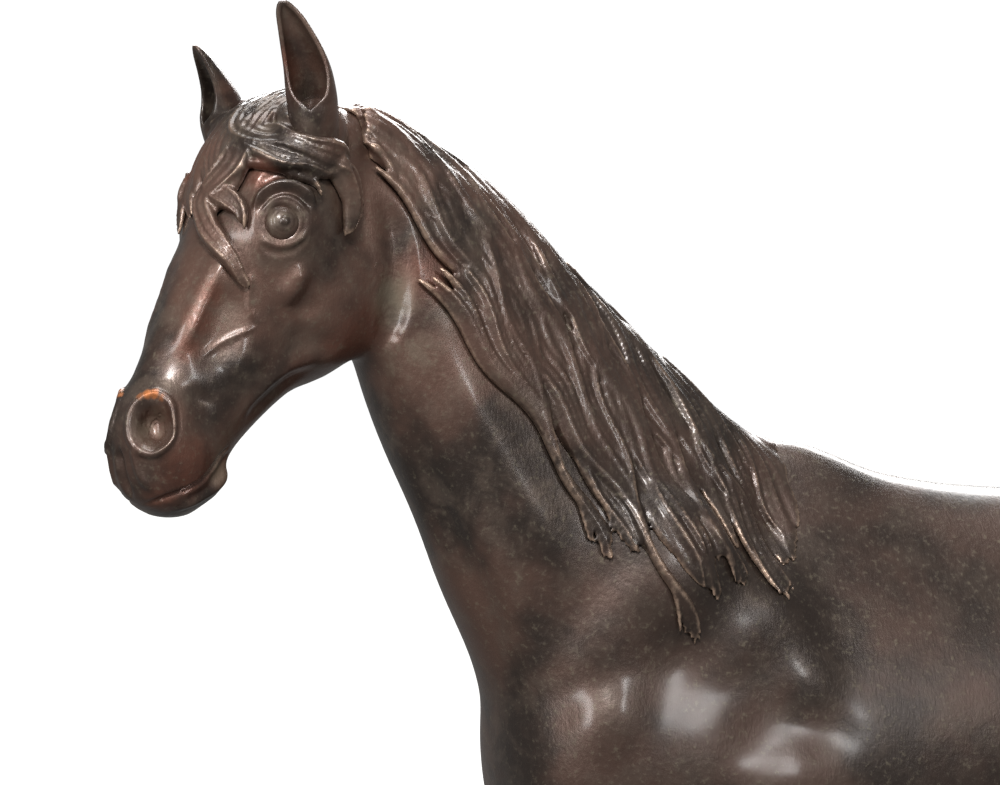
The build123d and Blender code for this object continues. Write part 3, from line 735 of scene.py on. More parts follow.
# ------------------------------------------------------------------ hair
def add_lock(bm, spine, outward, width, depth, lift, ridges=2.0, phase=0.0, root=0.15):
    """A lock of hair along a spine on the skin: broad and shallow, ridged on its back, pointed at its tip."""
    count = len(spine)
    grid = bmesh.ops.create_grid(bm, x_segments=count - 1, y_segments=LOCK_ROUND, size=0.5)["verts"]
    ways = [(spine[min(i + 1, count - 1)] - spine[max(i - 1, 0)]).normalized() for i in range(count)]
    for vert in grid:
        i = round((vert.co.x + 0.5) * (count - 1))
        turn = (vert.co.y + 0.5) * math.tau
        share = i / (count - 1)
        taper = min(1.0, share / root) ** 0.5 * max(0.0, 1 - share ** 3.2) ** 0.65
        across, up = math.cos(turn), math.sin(turn)
        ridge = 1 + 0.22 * math.cos(math.pi * ridges * across + phase) if up > 0 else 0.6
        aside = ways[i].cross(outward[i]).normalized()
        swell = lift * (1 - 0.55 * share) + depth * up * ridge * taper ** 0.7
        vert.co = spine[i] + aside * width * taper * across + outward[i] * swell


def lie_on(surface, places):
    """Points near the skin drawn onto it, with smoothed outward directions."""
    spine, outward = [], []
    for place in places:
        hit, normal = surface.find_nearest(place)[:2]
        spine.append(hit)
        outward.append(normal)
    for _ in range(3):
        outward = [
            (outward[max(i - 1, 0)] + outward[i] * 2 + outward[min(i + 1, len(outward) - 1)]).normalized()
            for i in range(len(outward))
        ]
    return spine, outward


def crest_at(x):
    """Height and slope in degrees of the mane's top line at a place along it."""
    crest = np.array(CREST)
    height = np.interp(x, crest[:, 0], crest[:, 1])
    ahead = np.interp(x - 5, crest[:, 0], crest[:, 1])
    return height, math.degrees(math.atan2(ahead - height, 5))


def fall_of_hair(surface, tip, lean, phase, reach):
    """A spine of hair on the left side of the neck, from its root at the crest down to its tip."""
    x, z = tip
    places, walked = [], 0.0
    while walked < reach:
        height, slope = crest_at(x)
        gap = height - 2.5 - z
        places.append((x, z))
        if gap < 0.5 or x < CREST[0][0] + 5:
            break
        fall = np.interp(x, (-220, -110), (60, 70)) + lean * min(1.0, walked / 30)
        angle = slope + 6 + (fall - slope - 6) * min(1.0, gap / 16)
        angle = math.radians(angle + HAIR_WAVE * min(1.0, gap / 12) * math.sin(phase + walked / 6.0))
        x -= HAIR_STEP * math.cos(angle)
        z += HAIR_STEP * math.sin(angle)
        walked += HAIR_STEP
    hits = []
    for x, z in places:
        hit = surface.ray_cast(Vector((x, -OUTSIDE, z)), Vector((0, 1, 0)))[0]
        if hit is None or hit.y > -1:
            hit = Vector((x, -1.5, z))
        hits.append(hit)
    x, z = places[-1]
    if walked < reach and x > CREST[0][0] + 5:
        hits += [Vector((x - 1.5, 1.5, z + 1)), Vector((x - 3, 4.5, z)), Vector((x - 4.5, 7.5, z - 3))]
    return hits[::-1]


def comb_mane(surface):
    """The mane: broad underlying locks, tufts that draw together at the edge, and loose strands over them."""
    chance = np.random.default_rng(7)
    bm = bmesh.new()

    def lay(tip, width, depth, lift, ridges, lean, phase, reach=95.0):
        places = fall_of_hair(surface, tip, lean, phase, reach)
        if len(places) < 6:
            return
        spine, outward = lie_on(surface, places)
        add_lock(bm, spine, outward, width, depth, lift, ridges, phase)

    edge = smooth_rows(MANE_TIPS, 3.0, 2)
    for x, z in edge:
        height = crest_at(x)[0]
        for share in (0.16, 0.38, 0.6, 0.8):
            tip = (x + 3, height + (z - height) * share)
            lay(tip, 5.0, 1.7, 0.3, 2.0, chance.normal(0, 3), chance.uniform(0, 6))
    for tip_x, tip_z in MANE_TIPS:
        size = 0.75 + 0.25 * min(1.0, (crest_at(tip_x)[0] - tip_z) / 40)
        phase = tip_x * 0.045 + tip_z * 0.03 + chance.uniform(-0.5, 0.5)
        for k in range(9):
            aside = (k - 4) * 0.8 * size
            back = abs(k - 4) ** 1.2 * chance.uniform(0.5, 2.2)
            tip = (tip_x + aside * 0.95 - back * 0.42, tip_z + aside * 0.3 + back * 0.9)
            lay(tip, 1.45 * size, 1.7, 1.0 + 1.7 * chance.random(), 1.0, (k - 4) * -2.6, phase + 0.2 * k)
    for tip_x, tip_z in INNER_TIPS:
        phase = tip_x * 0.045 + tip_z * 0.03 + chance.uniform(-0.7, 0.7)
        for k in range(5):
            tip = (tip_x + (k - 2) * 1.0 + chance.uniform(-1, 1), tip_z + abs(k - 2) * chance.uniform(1, 4))
            lay(tip, 1.5, 1.6, 2.2 + 1.3 * chance.random(), 1.0, (k - 2) * -2.8, phase + 0.25 * k, 75)
    return fused(bm, "mane", HAIR_GRAIN)


def comb_forelock(surface):
    """The forelock: locks that part over the forehead and curl round the eyes."""
    bm = bmesh.new()
    chance = np.random.default_rng(3)
    for width, depth, lift, strands, spots in FORELOCK:
        rows = smooth_rows(spots, 1.6)
        middle = (strands - 1) / 2
        for k in range(strands):
            places = []
            for n, (along, out, apart) in enumerate(rows):
                share = n / (len(rows) - 1)
                gap = (k - middle) * width * 1.25 * (1 - 0.75 * share)
                way = rows[min(n + 1, len(rows) - 1)] - rows[max(n - 1, 0)]
                length = max(math.hypot(way[0], way[2]), 1e-6)
                wobble = 0.9 * math.sin(share * 8 + 0.5 * k)
                aside = (gap + wobble) / length
                places.append(turned(head_place(along - way[2] * aside, out + 1.5, -apart - way[0] * aside)))
            spine, outward = lie_on(surface, places[: len(places) - round(chance.uniform(0, 2))])
            add_lock(bm, spine, outward, width, depth, lift + 0.5 * chance.random(), 1.0, k, 0.2)
    return fused(bm, "forelock", FORELOCK_GRAIN)


def comb_tail():
    """The tail: long wavy locks round a drooping spine, drawing to uneven points."""
    bm = bmesh.new()
    chance = np.random.default_rng(5)
    core = smooth_rows(TAIL, 3.0, 2)
    lines = []
    for n, (x, z, across, deep) in enumerate(core):
        before, after = core[max(n - 1, 0)], core[min(n + 1, len(core) - 1)]
        way = Vector((after[0] - before[0], 0, after[1] - before[1])).normalized()
        lines.append((Vector((x, 0, z)), Vector((0, across, 0)), Vector((0, 1, 0)).cross(way) * deep))
    add_form(bm, [
        (*(m - d * 0.75).xz, *(m + d * 0.75).xz, a.y * 0.8, 0, 0) for m, a, d in lines[: -len(lines) // 5 : 4]
    ])
    for k in range(TAIL_LOCKS):
        turn = math.tau * k * GOLDEN_PART
        depth = 0.66 + 0.17 * (k % 3)
        end = round(len(lines) * (0.6 + 0.4 * chance.random() ** 0.6))
        phase = chance.uniform(0, 6)
        spine, outward = [], []
        for n, (middle, aside, deep) in enumerate(lines[:end]):
            lean = turn + 0.3 * math.sin(n * 0.16 + phase)
            way = aside * math.sin(lean) + deep * math.cos(lean)
            spine.append(middle + way * depth)
            outward.append(way.normalized())
        add_lock(bm, spine, outward, 3.0, 2.3, 0, 2.0, phase, 0.1)
    return fused(bm, "tail", TAIL_GRAIN)


def ear(side):
    """An ear: a leaf rolled into a tube at its root and opening forwards to its tip."""
    bm = bmesh.new()
    grid = bmesh.ops.create_grid(bm, x_segments=16, y_segments=14, size=0.5)["verts"]
    rows = smooth_rows(EAR, 2.0, 1)
    facing = Vector((-0.7, -0.7, 0.08) if side == LEFT else (-0.95, 0.3, 0.08)).normalized()
    beside = Vector((0, 0, 1)).cross(facing).normalized()
    tall, drop = (1.0, 0.0) if side == LEFT else (FAR_EAR, FAR_EAR_DROP)
    for vert in grid:
        share, swing = vert.co.x + 0.5, vert.co.y * 2
        height, depth, breadth, ahead, outwards, roll = [
            np.interp(share * (len(rows) - 1), range(len(rows)), rows[:, k]) for k in range(6)
        ]
        turn = math.radians(180 + swing * roll)
        hollow = facing * math.cos(turn) * depth + beside * math.sin(turn) * breadth
        across = side * (EAR_SEAT[1] + outwards)
        place = Vector((EAR_SEAT[0] - ahead, across, EAR_SEAT[2] - drop + height * tall))
        vert.co = turned(place + hollow)
    return applied(mesh_of(bm, "ear"), "ear", [
        ("SOLIDIFY", {"thickness": EAR_WALL, "offset": 0.0}),
        ("SUBSURF", {"levels": 2, "render_levels": 2}),
        ("REMESH", {"mode": "VOXEL", "voxel_size": EAR_GRAIN, "use_smooth_shade": True}),
    ])


def eyeball(clay, side):
    """An eye: a dome with a cut iris ring and a raised pupil, set between the lids."""
    middle, outward, nose, up = eye_place(clay, side)
    bm = bmesh.new()
    verts = [bm.verts.new((radius, 0, height)) for radius, height in smooth_rows(EYE_PROFILE, 0.3)]
    for one, other in zip(verts[:-1], verts[1:]):
        bm.edges.new((one, other))
    bmesh.ops.spin(bm, geom=bm.verts[:] + bm.edges[:], cent=(0, 0, 0), axis=(0, 0, 1), angle=math.tau,
                   steps=40, use_merge=True)
    bmesh.ops.remove_doubles(bm, verts=bm.verts, dist=0.01)
    basis = Matrix((nose, up, outward)).transposed().to_4x4()
    bmesh.ops.transform(bm, verts=bm.verts, matrix=Matrix.Translation(middle - outward * 0.3) @ basis)
    return mesh_of(bm, "eye")


# ------------------------------------------------------------------ pieces for the frame
def stand(mesh, name, slot, finish, *nodes):
    """Places a drawn mesh in the frame as a piece, for the CAD nodes that it stands for."""
    mesh.transform(TO_FRAME)
    mesh.name = name
    piece = bpy.data.objects.new(name, mesh)
    bpy.context.scene.collection.objects.link(piece)
    mesh.materials.clear()
    mesh.materials.append(finish)
    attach(piece, "root")
    if nodes:
        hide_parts(*nodes)
    return piece


def note_relief(mesh, rounds, scale):
    """Notes at each point how far it stands proud of its surroundings."""
    clay = Clay(mesh)
    flat = clay.points.copy()
    for _ in range(rounds):
        flat += 0.6 * (clay.around(flat) - flat)
    relief = np.einsum("ij,ij->i", clay.points - flat, clay.normals) * scale
    for _ in range(2):
        relief = 0.5 * relief + 0.5 * clay.around(relief[:, None])[:, 0]
    layer = mesh.attributes.new("relief", "FLOAT", "POINT")
    layer.data.foreach_set("value", relief.astype(np.float32))


def note_patches(mesh, name, patches):
    """Notes soft round patches on a mesh: (middle, radius, strength)."""
    count = len(mesh.vertices)
    points = np.empty(count * 3)
    mesh.vertices.foreach_get("co", points)
    points.shape = (count, 3)
    value = np.zeros(count)
    for middle, radius, strength in patches:
        gap = np.linalg.norm(points - np.array(middle), axis=1) / radius
        value = np.maximum(value, strength * np.clip(1 - gap * gap, 0, 1))
    layer = mesh.attributes.new(name, "FLOAT", "POINT")
    layer.data.foreach_set("value", value.astype(np.float32))


def keep_directions(mesh):
    """Keeps the whole skin's shading directions on its points, so that the cut pieces meet without a seam."""
    count = len(mesh.vertices)
    normals = np.empty(count * 3, np.float32)
    mesh.vertices.foreach_get("normal", normals)
    layer = mesh.attributes.new("skin_way", "FLOAT_VECTOR", "POINT")
    layer.data.foreach_set("vector", normals)


def cut(mesh, name, cuts):
    """A closed copy of the skin on the inner side of some planes: (point, outward direction)."""
    bm = bmesh.new()
    bm.from_mesh(mesh)
    for spot, way in cuts:
        geom = bm.verts[:] + bm.edges[:] + bm.faces[:]
        bmesh.ops.bisect_plane(bm, geom=geom, plane_co=spot, plane_no=way, clear_outer=True)
        rim = [edge for edge in bm.edges if edge.is_boundary]
        for face in bmesh.ops.holes_fill(bm, edges=rim, sides=0)["faces"]:
            face.smooth = False
            for edge in face.edges:
                edge.smooth = False
    part = bpy.data.meshes.new(name)
    bm.to_mesh(part)
    bm.free()
    count = len(part.vertices)
    ways = np.empty(count * 3, np.float32)
    part.attributes["skin_way"].data.foreach_get("vector", ways)
    flat = {loop for face in part.polygons if not face.use_smooth for loop in face.loop_indices}
    ways.shape = (count, 3)
    loops = [(0, 0, 0) if loop.index in flat else tuple(ways[loop.vertex_index]) for loop in part.loops]
    part.normals_split_custom_set(loops)
    part.attributes.remove(part.attributes["skin_way"])
    return part


# ------------------------------------------------------------------ finishes
class Wire:
    """A shader socket that takes part in sums; each operation adds its node."""

    def __init__(self, finish, socket):
        self.finish = finish
        self.socket = socket

    def sum(self, operation, *values):
        return self.finish.node("Math", {"operation": operation}, dict(enumerate(values)))

    def __add__(self, other):
        return self.sum("ADD", self, other)

    def __sub__(self, other):
        return self.sum("SUBTRACT", self, other)

    def __mul__(self, other):
        return self.sum("MULTIPLY", self, other)

    def __neg__(self):
        return self.sum("MULTIPLY", self, -1.0)

    __radd__ = __add__

    def between(self, low, high):
        """0 below low, 1 above high, and smooth between them."""
        settings = {"interpolation_type": "SMOOTHSTEP"}
        return self.finish.node("MapRange", settings, {"Value": self, "From Min": low, "From Max": high})


class Finish:
    """A material under way: its nodes, and the sockets of its shader."""

    def __init__(self, name):
        self.material = bpy.data.materials.new(name)
        self.material.use_nodes = True
        self.nodes = self.material.node_tree.nodes
        self.shader = self.nodes["Principled BSDF"]

    def node(self, kind, settings, sockets, output=0):
        node = self.nodes.new("ShaderNode" + kind)
        for name, value in settings.items():
            setattr(node, name, value)
        for name, value in sockets.items():
            self.join(node.inputs[name], value)
        return Wire(self, node.outputs[output])

    def join(self, socket, value):
        if isinstance(value, Wire):
            self.material.node_tree.links.new(value.socket, socket)
        elif socket.type == "RGBA" and len(value) == 3:
            socket.default_value = (*value, 1)
        else:
            socket.default_value = value

    def end(self, **values):
        """Sets or joins the shader's own sockets: base_color is Base Color."""
        for name, value in values.items():
            self.join(self.shader.inputs[name.replace("_", " ").title()], value)
        return self.material

    def place(self):
        return self.node("TexCoord", {}, {}, "Object")

    def noted(self, name):
        return self.node("Attribute", {"attribute_name": name}, {}, "Fac")

    def noise(self, place, scale, detail=3.0, roughness=0.55, warp=0.0):
        return self.node("TexNoise", {}, {
            "Vector": place, "Scale": scale, "Detail": detail, "Roughness": roughness, "Distortion": warp,
        })

    def mix(self, share, one, other):
        """Two colours mixed by a share."""
        sockets = {0: share, 6: one, 7: other}
        return self.node("Mix", {"data_type": "RGBA"}, sockets, 2)

    def bump(self, height, distance):
        return self.node("Bump", {}, {"Height": height, "Distance": distance, "Strength": 1.0})


DARK_BROWN = (0.026, 0.0175, 0.0135)
WARM_BROWN = (0.105, 0.056, 0.04)
GREY_BROWN = (0.125, 0.09, 0.068)
RED_BROWN = (0.115, 0.038, 0.022)
# Pale copper of worn high places, which also serves as a painted highlight along ridges and hair.
RUBBED_AND_HIGHLIGHT = (0.42, 0.29, 0.21)
DUST = (0.14, 0.118, 0.08)
ORANGE = (0.4, 0.13, 0.035)


def bronze(name, rubbed_and_highlight, dusty, edge=(0.2, 0.6)):
    """Dark brown patinated bronze: warm and reddish patches, dust in the hollows, and high places worn light
    and painted with highlights.
    """
    finish = Finish(name)
    place = finish.place()
    broad = finish.noise(place, 26, 4)
    patch = finish.noise(place, 95, 4, 0.6, 0.4)
    speck = finish.noise(place, 620, 3, 0.65)
    streak = finish.node("Mapping", {}, {
        "Vector": place, "Rotation": (0.5, 0.3, 0.9), "Scale": (1.0, 0.12, 0.3),
    })
    scratch = finish.noise(streak, 1500, 2, 0.7)
    colour = finish.mix(broad.between(0.4, 0.62), DARK_BROWN, WARM_BROWN)
    colour = finish.mix(patch.between(0.44, 0.7) * 0.5, colour, GREY_BROWN)
    behind_head = finish.node("SeparateXYZ", {}, {"Vector": place}).between(-0.235, -0.14)
    colour = finish.mix(behind_head * 0.6, colour, DARK_BROWN)
    rough = 0.34 + broad.between(0.35, 0.65) * 0.06 + speck.between(0.35, 0.7) * 0.09
    relief = finish.noted("relief")
    red = (finish.noted("red") * (0.1 + patch * 1.5)).between(0.15, 0.9)
    dust = ((finish.noted("dust") * 0.75 + (-relief).between(*edge)) * patch.between(0.3, 0.62) * dusty)
    dust = dust.between(0.05, 0.95)
    # Ridges lightened to pale copper by the relief: worn bronze and a painted highlight along them.
    bare_and_highlight = relief.between(*edge) * (0.35 + speck.between(0.35, 0.6) * 0.65) * rubbed_and_highlight
    worn = (finish.noted("worn") + patch * 0.5 + speck * 0.4).between(0.75, 1.25)
    colour = finish.mix(red * 0.8, colour, RED_BROWN)
    colour = finish.mix(dust * 0.7, colour, DUST)
    colour = finish.mix(bare_and_highlight, colour, RUBBED_AND_HIGHLIGHT)
    colour = finish.mix(worn, colour, ORANGE)
    rough = rough + dust * 0.3 - bare_and_highlight * 0.08
    colour = finish.mix(speck.between(0.54, 0.76) * 0.45, colour, DUST)
    height = speck * 0.5 + scratch * 0.35 + patch * 0.9
    return finish.end(
        base_color=colour, metallic=0.5, roughness=rough, coat_weight=0.3, coat_roughness=0.18,
        normal=finish.bump(height, 0.0002),
    )


def ground_bronze():
    """The terrace's rougher bronze."""
    finish = Finish("terrace_bronze")
    place = finish.place()
    broad = finish.noise(place, 18, 4)
    grit = finish.noise(place, 300, 4, 0.65)
    relief = finish.noted("relief")
    colour = finish.mix(broad.between(0.4, 0.62), DARK_BROWN, WARM_BROWN)
    # The ground's ridges lightened to pale copper: worn bronze and a painted highlight.
    colour = finish.mix(relief.between(0.05, 0.3) * 0.5, colour, RUBBED_AND_HIGHLIGHT)
    colour = finish.mix((-relief).between(0.03, 0.25) * 0.6, colour, DUST)
    rough = 0.4 + grit.between(0.3, 0.7) * 0.15
    return finish.end(base_color=colour, metallic=0.66, roughness=rough, coat_weight=0.15, coat_roughness=0.3,
                      normal=finish.bump(grit + broad, 0.0003))


def green_felt():
    """Short green felt under the terrace."""
    finish = Finish("green_felt")
    place = finish.place()
    fuzz = finish.noise(place, 1800, 4, 0.7)
    tuft = finish.noise(place, 160, 3)
    colour = finish.mix(fuzz.between(0.3, 0.7), (0.018, 0.045, 0.026), (0.05, 0.115, 0.066))
    return finish.end(base_color=colour, roughness=0.85 + fuzz * 0.1, sheen_weight=0.35,
                      normal=finish.bump(fuzz + tuft, 0.0004))


def turned_steel():
    """Plain turned steel with fine tool marks."""
    finish = Finish("turned_steel")
    place = finish.place()
    cloud = finish.noise(place, 260, 3)
    rings = finish.node("TexWave", {"wave_type": "RINGS", "rings_direction": "Z"},
                        {"Vector": place, "Scale": 900.0, "Distortion": 0.6, "Detail": 2.0})
    colour = finish.mix(cloud.between(0.35, 0.7), (0.34, 0.335, 0.33), (0.5, 0.49, 0.475))
    return finish.end(base_color=colour, metallic=1.0, roughness=0.28 + cloud * 0.2,
                      normal=finish.bump(rings + cloud, 0.00004))


# ------------------------------------------------------------------ the statuette
# Patches of the patina: (along, out, from the middle, radius, strength) on both sides of the head, and
# (place, radius, strength) elsewhere.
RED_HEAD = [
    (52, -31, 14, 15, 1.0), (110, -6, 11, 13, 0.9), (66, 11, 10, 6, 0.8), (74, 10, 9, 6, 0.9),
    (82, 9, 8.5, 6, 0.8), (31, 15, 14, 7, 1.0), (70, -24, 13, 10, 0.6), (118, -6, 6, 9, 0.8),
    (104, -20, 9, 8, 0.6), (100, 6, 10, 7, 0.5),
]
RED_BODY = [((-211, -18, 359), 14, 0.7), ((-256, -24, 412), 13, 0.8), ((-256, 10, 410), 11, 0.6)]
WORN_HEAD = [
    (99.6, 12.4, 4.4, 2.2, 0.7), (98.2, 11.8, 6, 2.4, 0.8), (97.4, 10.8, 7.4, 2.4, 0.8),
    (97.4, 9, 9, 2.2, 0.7),
]
WORN_BODY = [((-189, -21, 308), 5, 0.75)]
DUST_HEAD = [
    (38, -36, 18, 12, 1.0), (26, -25, 20, 9, 0.9), (41.2, 7.1, 20.6, 11, 0.8), (105, 7, 7, 7, 0.9),
    (104, -17, 10.5, 7, 1.0), (20, 16, 6, 14, 0.6), (20, 16, -6, 12, 0.5),
]
DUST_BODY = [((-216, -18, 335), 12, 0.7), ((-208, -20, 300), 12, 0.5)]


def head_spots(spots):
    """Patches of the head on both sides: (along, out, from the middle, radius, strength)."""
    return [
        (turned(head_place(along, out, side * apart)), radius, strength)
        for along, out, apart, radius, strength in spots
        for side in (LEFT, RIGHT)
    ]


def note_all(mesh, rounds=6, scale=1.0):
    """Notes relief and the patches of colour on a drawn mesh."""
    note_relief(mesh, rounds, scale)
    note_patches(mesh, "red", head_spots(RED_HEAD) + RED_BODY)
    note_patches(mesh, "worn", head_spots(WORN_HEAD) + WORN_BODY)
    note_patches(mesh, "dust", head_spots(DUST_HEAD) + DUST_BODY)
    return mesh


def joint_way(joint):
    """The direction square to a joint face, towards the head."""
    (low_x, low_z), (high_x, high_z) = joint
    return Vector((low_z - high_z, 0, high_x - low_x)).normalized()


PIN = 1.5
PLUG = 7.0


def add_pin(bm, clay, start, way, radius):
    """A round pin end, filed flush with the skin."""
    hit, normal = clay.surface.ray_cast(start, way)[:2]
    out = -way
    turn = out.to_track_quat("Z", "Y").to_matrix().to_4x4()
    pin = bmesh.ops.create_cone(bm, segments=32, radius1=radius, radius2=radius, depth=5, cap_ends=True,
                                matrix=Matrix.Translation(hit - out * 2.3) @ turn)["verts"]
    for vert in pin:
        if (vert.co - hit).dot(out) > 0:
            vert.co += way * ((vert.co - hit).dot(normal) / max(out.dot(normal), 0.3)) + out * 0.03


def drawn_box(node):
    """A CAD node's corners in drawn millimetres."""
    return [TO_DRAWING @ Vector(corner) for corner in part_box(node)]


def sleeve_pins(clay, node):
    """The four pin ends of a slanting sleeve joint."""
    low, high = drawn_box(node)
    bm = bmesh.new()
    for x, z in ((low.x + PIN, low.z + PIN), (high.x - PIN, high.z - PIN)):
        for side in (LEFT, RIGHT):
            add_pin(bm, clay, Vector((x, side * OUTSIDE, z)), Vector((0, -side, 0)), PIN)
    return mesh_of(bm, node)


def leg_pins(clay, node):
    """The pin ends of a pair of legs."""
    low, high = drawn_box(node)
    bm = bmesh.new()
    for side in (LEFT, RIGHT):
        start = Vector(((low.x + high.x) / 2, side * OUTSIDE, (low.z + high.z) / 2))
        add_pin(bm, clay, start, Vector((0, -side, 0)), PIN)
    return mesh_of(bm, node)


def upright_pin(clay, node, radius, down):
    """A pin or plug set upright: its end shows on the top line, or underneath."""
    low, high = drawn_box(node)
    way = Vector((0, 0, 1 if down else -1))
    start = Vector(((low.x + high.x) / 2, 0, 150 if down else 400))
    bm = bmesh.new()
    add_pin(bm, clay, start, way, radius)
    return mesh_of(bm, node)


def ground_swell(x, y):
    """How high the worked ground stands at a place: broad swells and finer lumps."""
    broad = noise.fractal(Vector((x / 26, y / 26, 0)), 0.9, 2.1, 5)
    return broad + 0.35 * noise.noise(Vector((x / 5, y / 5, 3)))


def terrace():
    """The terrace with its worked ground, uneven between the hooves."""
    bm = bmesh.new()
    bm.from_mesh(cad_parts["terrace"].data)
    bmesh.ops.remove_doubles(bm, verts=bm.verts, dist=1e-6)
    bmesh.ops.transform(bm, verts=bm.verts, matrix=TO_DRAWING)
    ground = Clay(fused(bm, "terrace", TERRACE_GRAIN))
    hooves = [(sum(leg_rings(rings, side, stride)[-2][:3:2]) / 2, side * rings[-2][4])
              for rings, side, stride in STRIDE.values()]
    x, y, z = ground.points.T
    free = np.min([np.hypot(x - hoof_x, y - hoof_y) for hoof_x, hoof_y in hooves], axis=0)
    free = np.clip((free - 17) / 10, 0, 1) * (z > -0.9) * np.clip(ground.normals[:, 2], 0, 1)
    swell = np.array([ground_swell(a, b) if f > 0 else 0.0 for a, b, f in zip(x, y, free)])
    ground.points[:, 2] += free * (swell * 1.5 - 0.5)
    ground.settle()
    return ground.mesh


skin = Clay(rough_horse())
model_body(skin)
model_head(skin)
eyes = [(eyeball(skin, side), side) for side in (LEFT, RIGHT)]
mane_hair, forelock_hair, tail_hair = comb_mane(skin.surface), comb_forelock(skin.surface), comb_tail()
note_all(skin.mesh)
keep_directions(skin.mesh)

patina = bronze("patina", 0.45, 0.85)
chased_hair = bronze("chased_hair", 0.95, 0.7, (0.05, 0.26))
steel, felt_finish, ground_finish = turned_steel(), green_felt(), ground_bronze()
small_parts = {"felt_liner": felt_finish, "hoof_studs": steel, "stud_washers": steel, "stud_nuts": steel}
for node, finish in small_parts.items():
    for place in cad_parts[node].material_slots:
        place.material = finish

neck_low, head_low = (Vector((joint[0][0], 0, joint[0][1])) for joint in (NECK_CUT, HEAD_CUT))
neck_way, head_way = joint_way(NECK_CUT), joint_way(HEAD_CUT)
leg_top, upwards = Vector((0, 0, LEG_CUT)), Vector((0, 0, 1))
stand(cut(skin.mesh, "torso", [(neck_low, neck_way), (leg_top, -upwards)]), "torso", "bronze_patina", patina,
      "torso_casting")
stand(cut(skin.mesh, "neck", [(neck_low, -neck_way), (head_low, head_way)]), "neck", "bronze_patina", patina,
      "neck_casting")
stand(cut(skin.mesh, "head", [(head_low, -head_way)]), "head", "bronze_patina", patina, "head_casting")
for name, (rings, side, _) in STRIDE.items():
    fore = 1 if rings is FORELEG else -1
    planes = [(leg_top, upwards), (Vector(), Vector((0, -side, 0))), (Vector(), Vector((fore, 0, 0)))]
    stand(cut(skin.mesh, name, planes), name.replace("near", "left").replace("off", "right") + "_bronze",
          "bronze_patina", patina, name)
for eye, side in eyes:
    note_all(eye, 2)
    stand(eye, "left_eye" if side == LEFT else "right_eye", "bronze_patina", patina)
for side, node in ((LEFT, "left_ear"), (RIGHT, "right_ear")):
    stand(note_all(ear(side)), node + "_leaf", "bronze_patina", patina, node)
stand(note_all(mane_hair, 5), "mane_hair", "bronze_hair", chased_hair, "mane")
stand(note_all(forelock_hair, 5), "forelock_hair", "bronze_hair", chased_hair, "forelock")
stand(note_all(tail_hair, 4), "tail_hair", "bronze_hair", chased_hair, "tail")
for node, mesh in (
    ("neck_joint_pins", sleeve_pins(skin, "neck_joint_pins")),
    ("head_joint_pins", sleeve_pins(skin, "head_joint_pins")),
    ("foreleg_joint_pins", leg_pins(skin, "foreleg_joint_pins")),
    ("hindleg_joint_pins", leg_pins(skin, "hindleg_joint_pins")),
    ("tail_joint_pin", upright_pin(skin, "tail_joint_pin", PIN, False)),
    ("core_plug", upright_pin(skin, "core_plug", PLUG, True)),
):
    stand(note_all(mesh, 1, 0.0), node.replace("_pins", "_ends").replace("_pin", "_end") + "_flush",
          "bronze_patina", patina, node)
stand(note_all(terrace(), 4), "terrace_ground", "bronze_terrace", ground_finish, "terrace")


# ------------------------------------------------------------------ floor, light and camera
# Lamps: (name, place, width and height, watts), in metres.
LAMPS = [
    ("key", (-0.75, -1.15, 1.3), (0.3, 0.3), 25),
    ("side", (-1.5, -0.7, 0.75), (0.3, 0.9), 15),
    ("front", (0.2, -1.75, 0.95), (0.16, 0.5), 8),
    ("back", (0.4, 1.2, 1.1), (1.2, 0.5), 24),
    ("top", (-0.1, 0.1, 1.7), (1.0, 0.6), 18),
]
LAMP_AIM = (-0.18, 0, 0.34)
VIEW_TARGET = (-181.9, 0, 325.2)  # drawn millimetres
VIEW_AZIMUTH, VIEW_ELEVATION = math.radians(-22), math.radians(2)
VIEW_DISTANCE, VIEW_WIDTH = 1.6, 0.2778  # metres
SENSOR = 36


def softbox(name, place, size, power):
    """A large soft light at a place, aimed at the neck."""
    light = bpy.data.lights.new(name, "AREA")
    light.shape = "RECTANGLE"
    light.size, light.size_y = size
    light.energy = power
    lamp = bpy.data.objects.new(name, light)
    bpy.context.scene.collection.objects.link(lamp)
    lamp.location = place
    lamp.rotation_euler = (Vector(place) - Vector(LAMP_AIM)).to_track_quat("Z", "Y").to_euler()


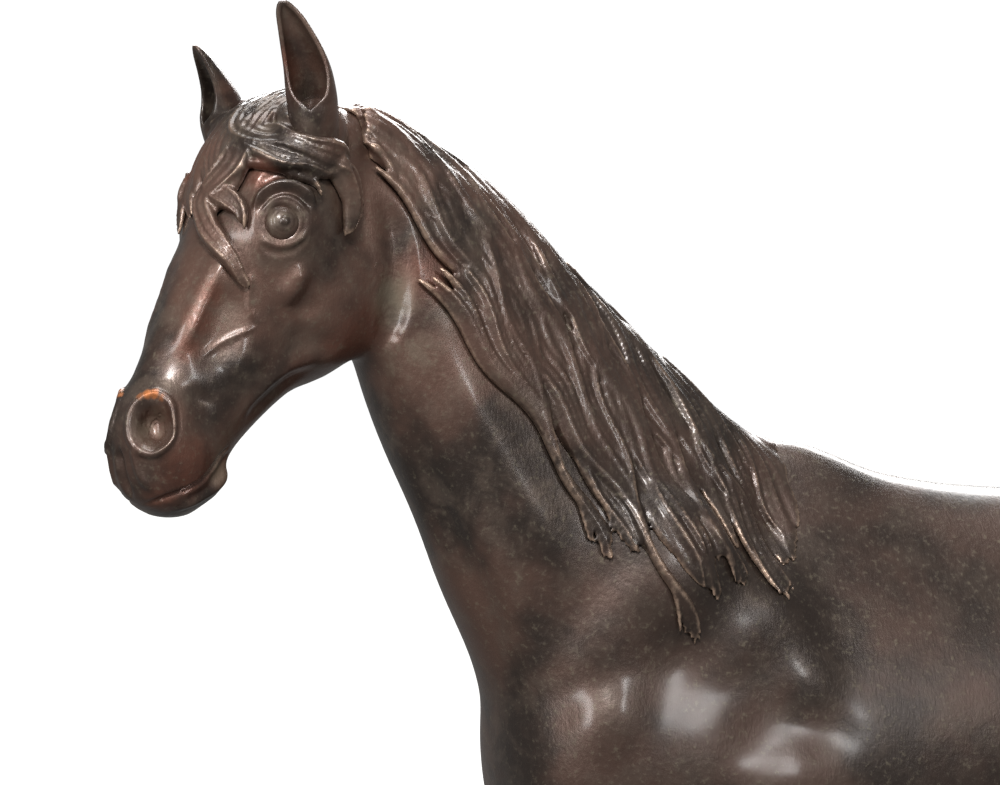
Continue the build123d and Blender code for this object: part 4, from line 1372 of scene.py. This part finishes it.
def studio():
    """A pale floor, soft lights and a white surround that lights the horse only gently."""
    bm = bmesh.new()
    bmesh.ops.create_circle(bm, cap_ends=True, segments=64, radius=8)
    floor = bpy.data.objects.new("floor", mesh_of(bm, "floor"))
    bpy.context.scene.collection.objects.link(floor)
    paper = Finish("paper")
    paper.end(base_color=(0.93, 0.925, 0.91), roughness=0.9, emission_color=(1, 1, 0.985),
              emission_strength=0.95)
    floor.data.materials.append(paper.material)
    floor.visible_glossy = False
    floor.visible_diffuse = False
    world = bpy.data.worlds.new("studio")
    world.use_nodes = True
    nodes, links = world.node_tree.nodes, world.node_tree.links
    shown = nodes["Background"]
    shown.inputs["Color"].default_value = (1, 1, 1, 1)
    shown.inputs["Strength"].default_value = 1.05
    soft = nodes.new("ShaderNodeBackground")
    soft.inputs["Color"].default_value = (1, 0.99, 0.97, 1)
    soft.inputs["Strength"].default_value = 0.24
    blend = nodes.new("ShaderNodeMixShader")
    links.new(nodes.new("ShaderNodeLightPath").outputs["Is Camera Ray"], blend.inputs[0])
    links.new(soft.outputs[0], blend.inputs[1])
    links.new(shown.outputs[0], blend.inputs[2])
    links.new(blend.outputs[0], nodes["World Output"].inputs["Surface"])
    bpy.context.scene.world = world
    bpy.context.scene.view_settings.view_transform = "Standard"
    for lamp in LAMPS:
        softbox(*lamp)


def camera():
    """The camera at the front left, a little above the horse's middle."""
    lens = bpy.data.cameras.new("camera")
    eye = bpy.data.objects.new("camera", lens)
    bpy.context.scene.collection.objects.link(eye)
    bpy.context.scene.camera = eye
    level = math.cos(VIEW_ELEVATION)
    back = Vector((math.sin(VIEW_AZIMUTH) * level, -math.cos(VIEW_AZIMUTH) * level, math.sin(VIEW_ELEVATION)))
    eye.location = TO_FRAME @ Vector(VIEW_TARGET) + back * VIEW_DISTANCE
    eye.rotation_euler = (-back).to_track_quat("-Z", "Y").to_euler()
    lens.sensor_width = SENSOR
    lens.lens = SENSOR * VIEW_DISTANCE / VIEW_WIDTH


studio()
camera()
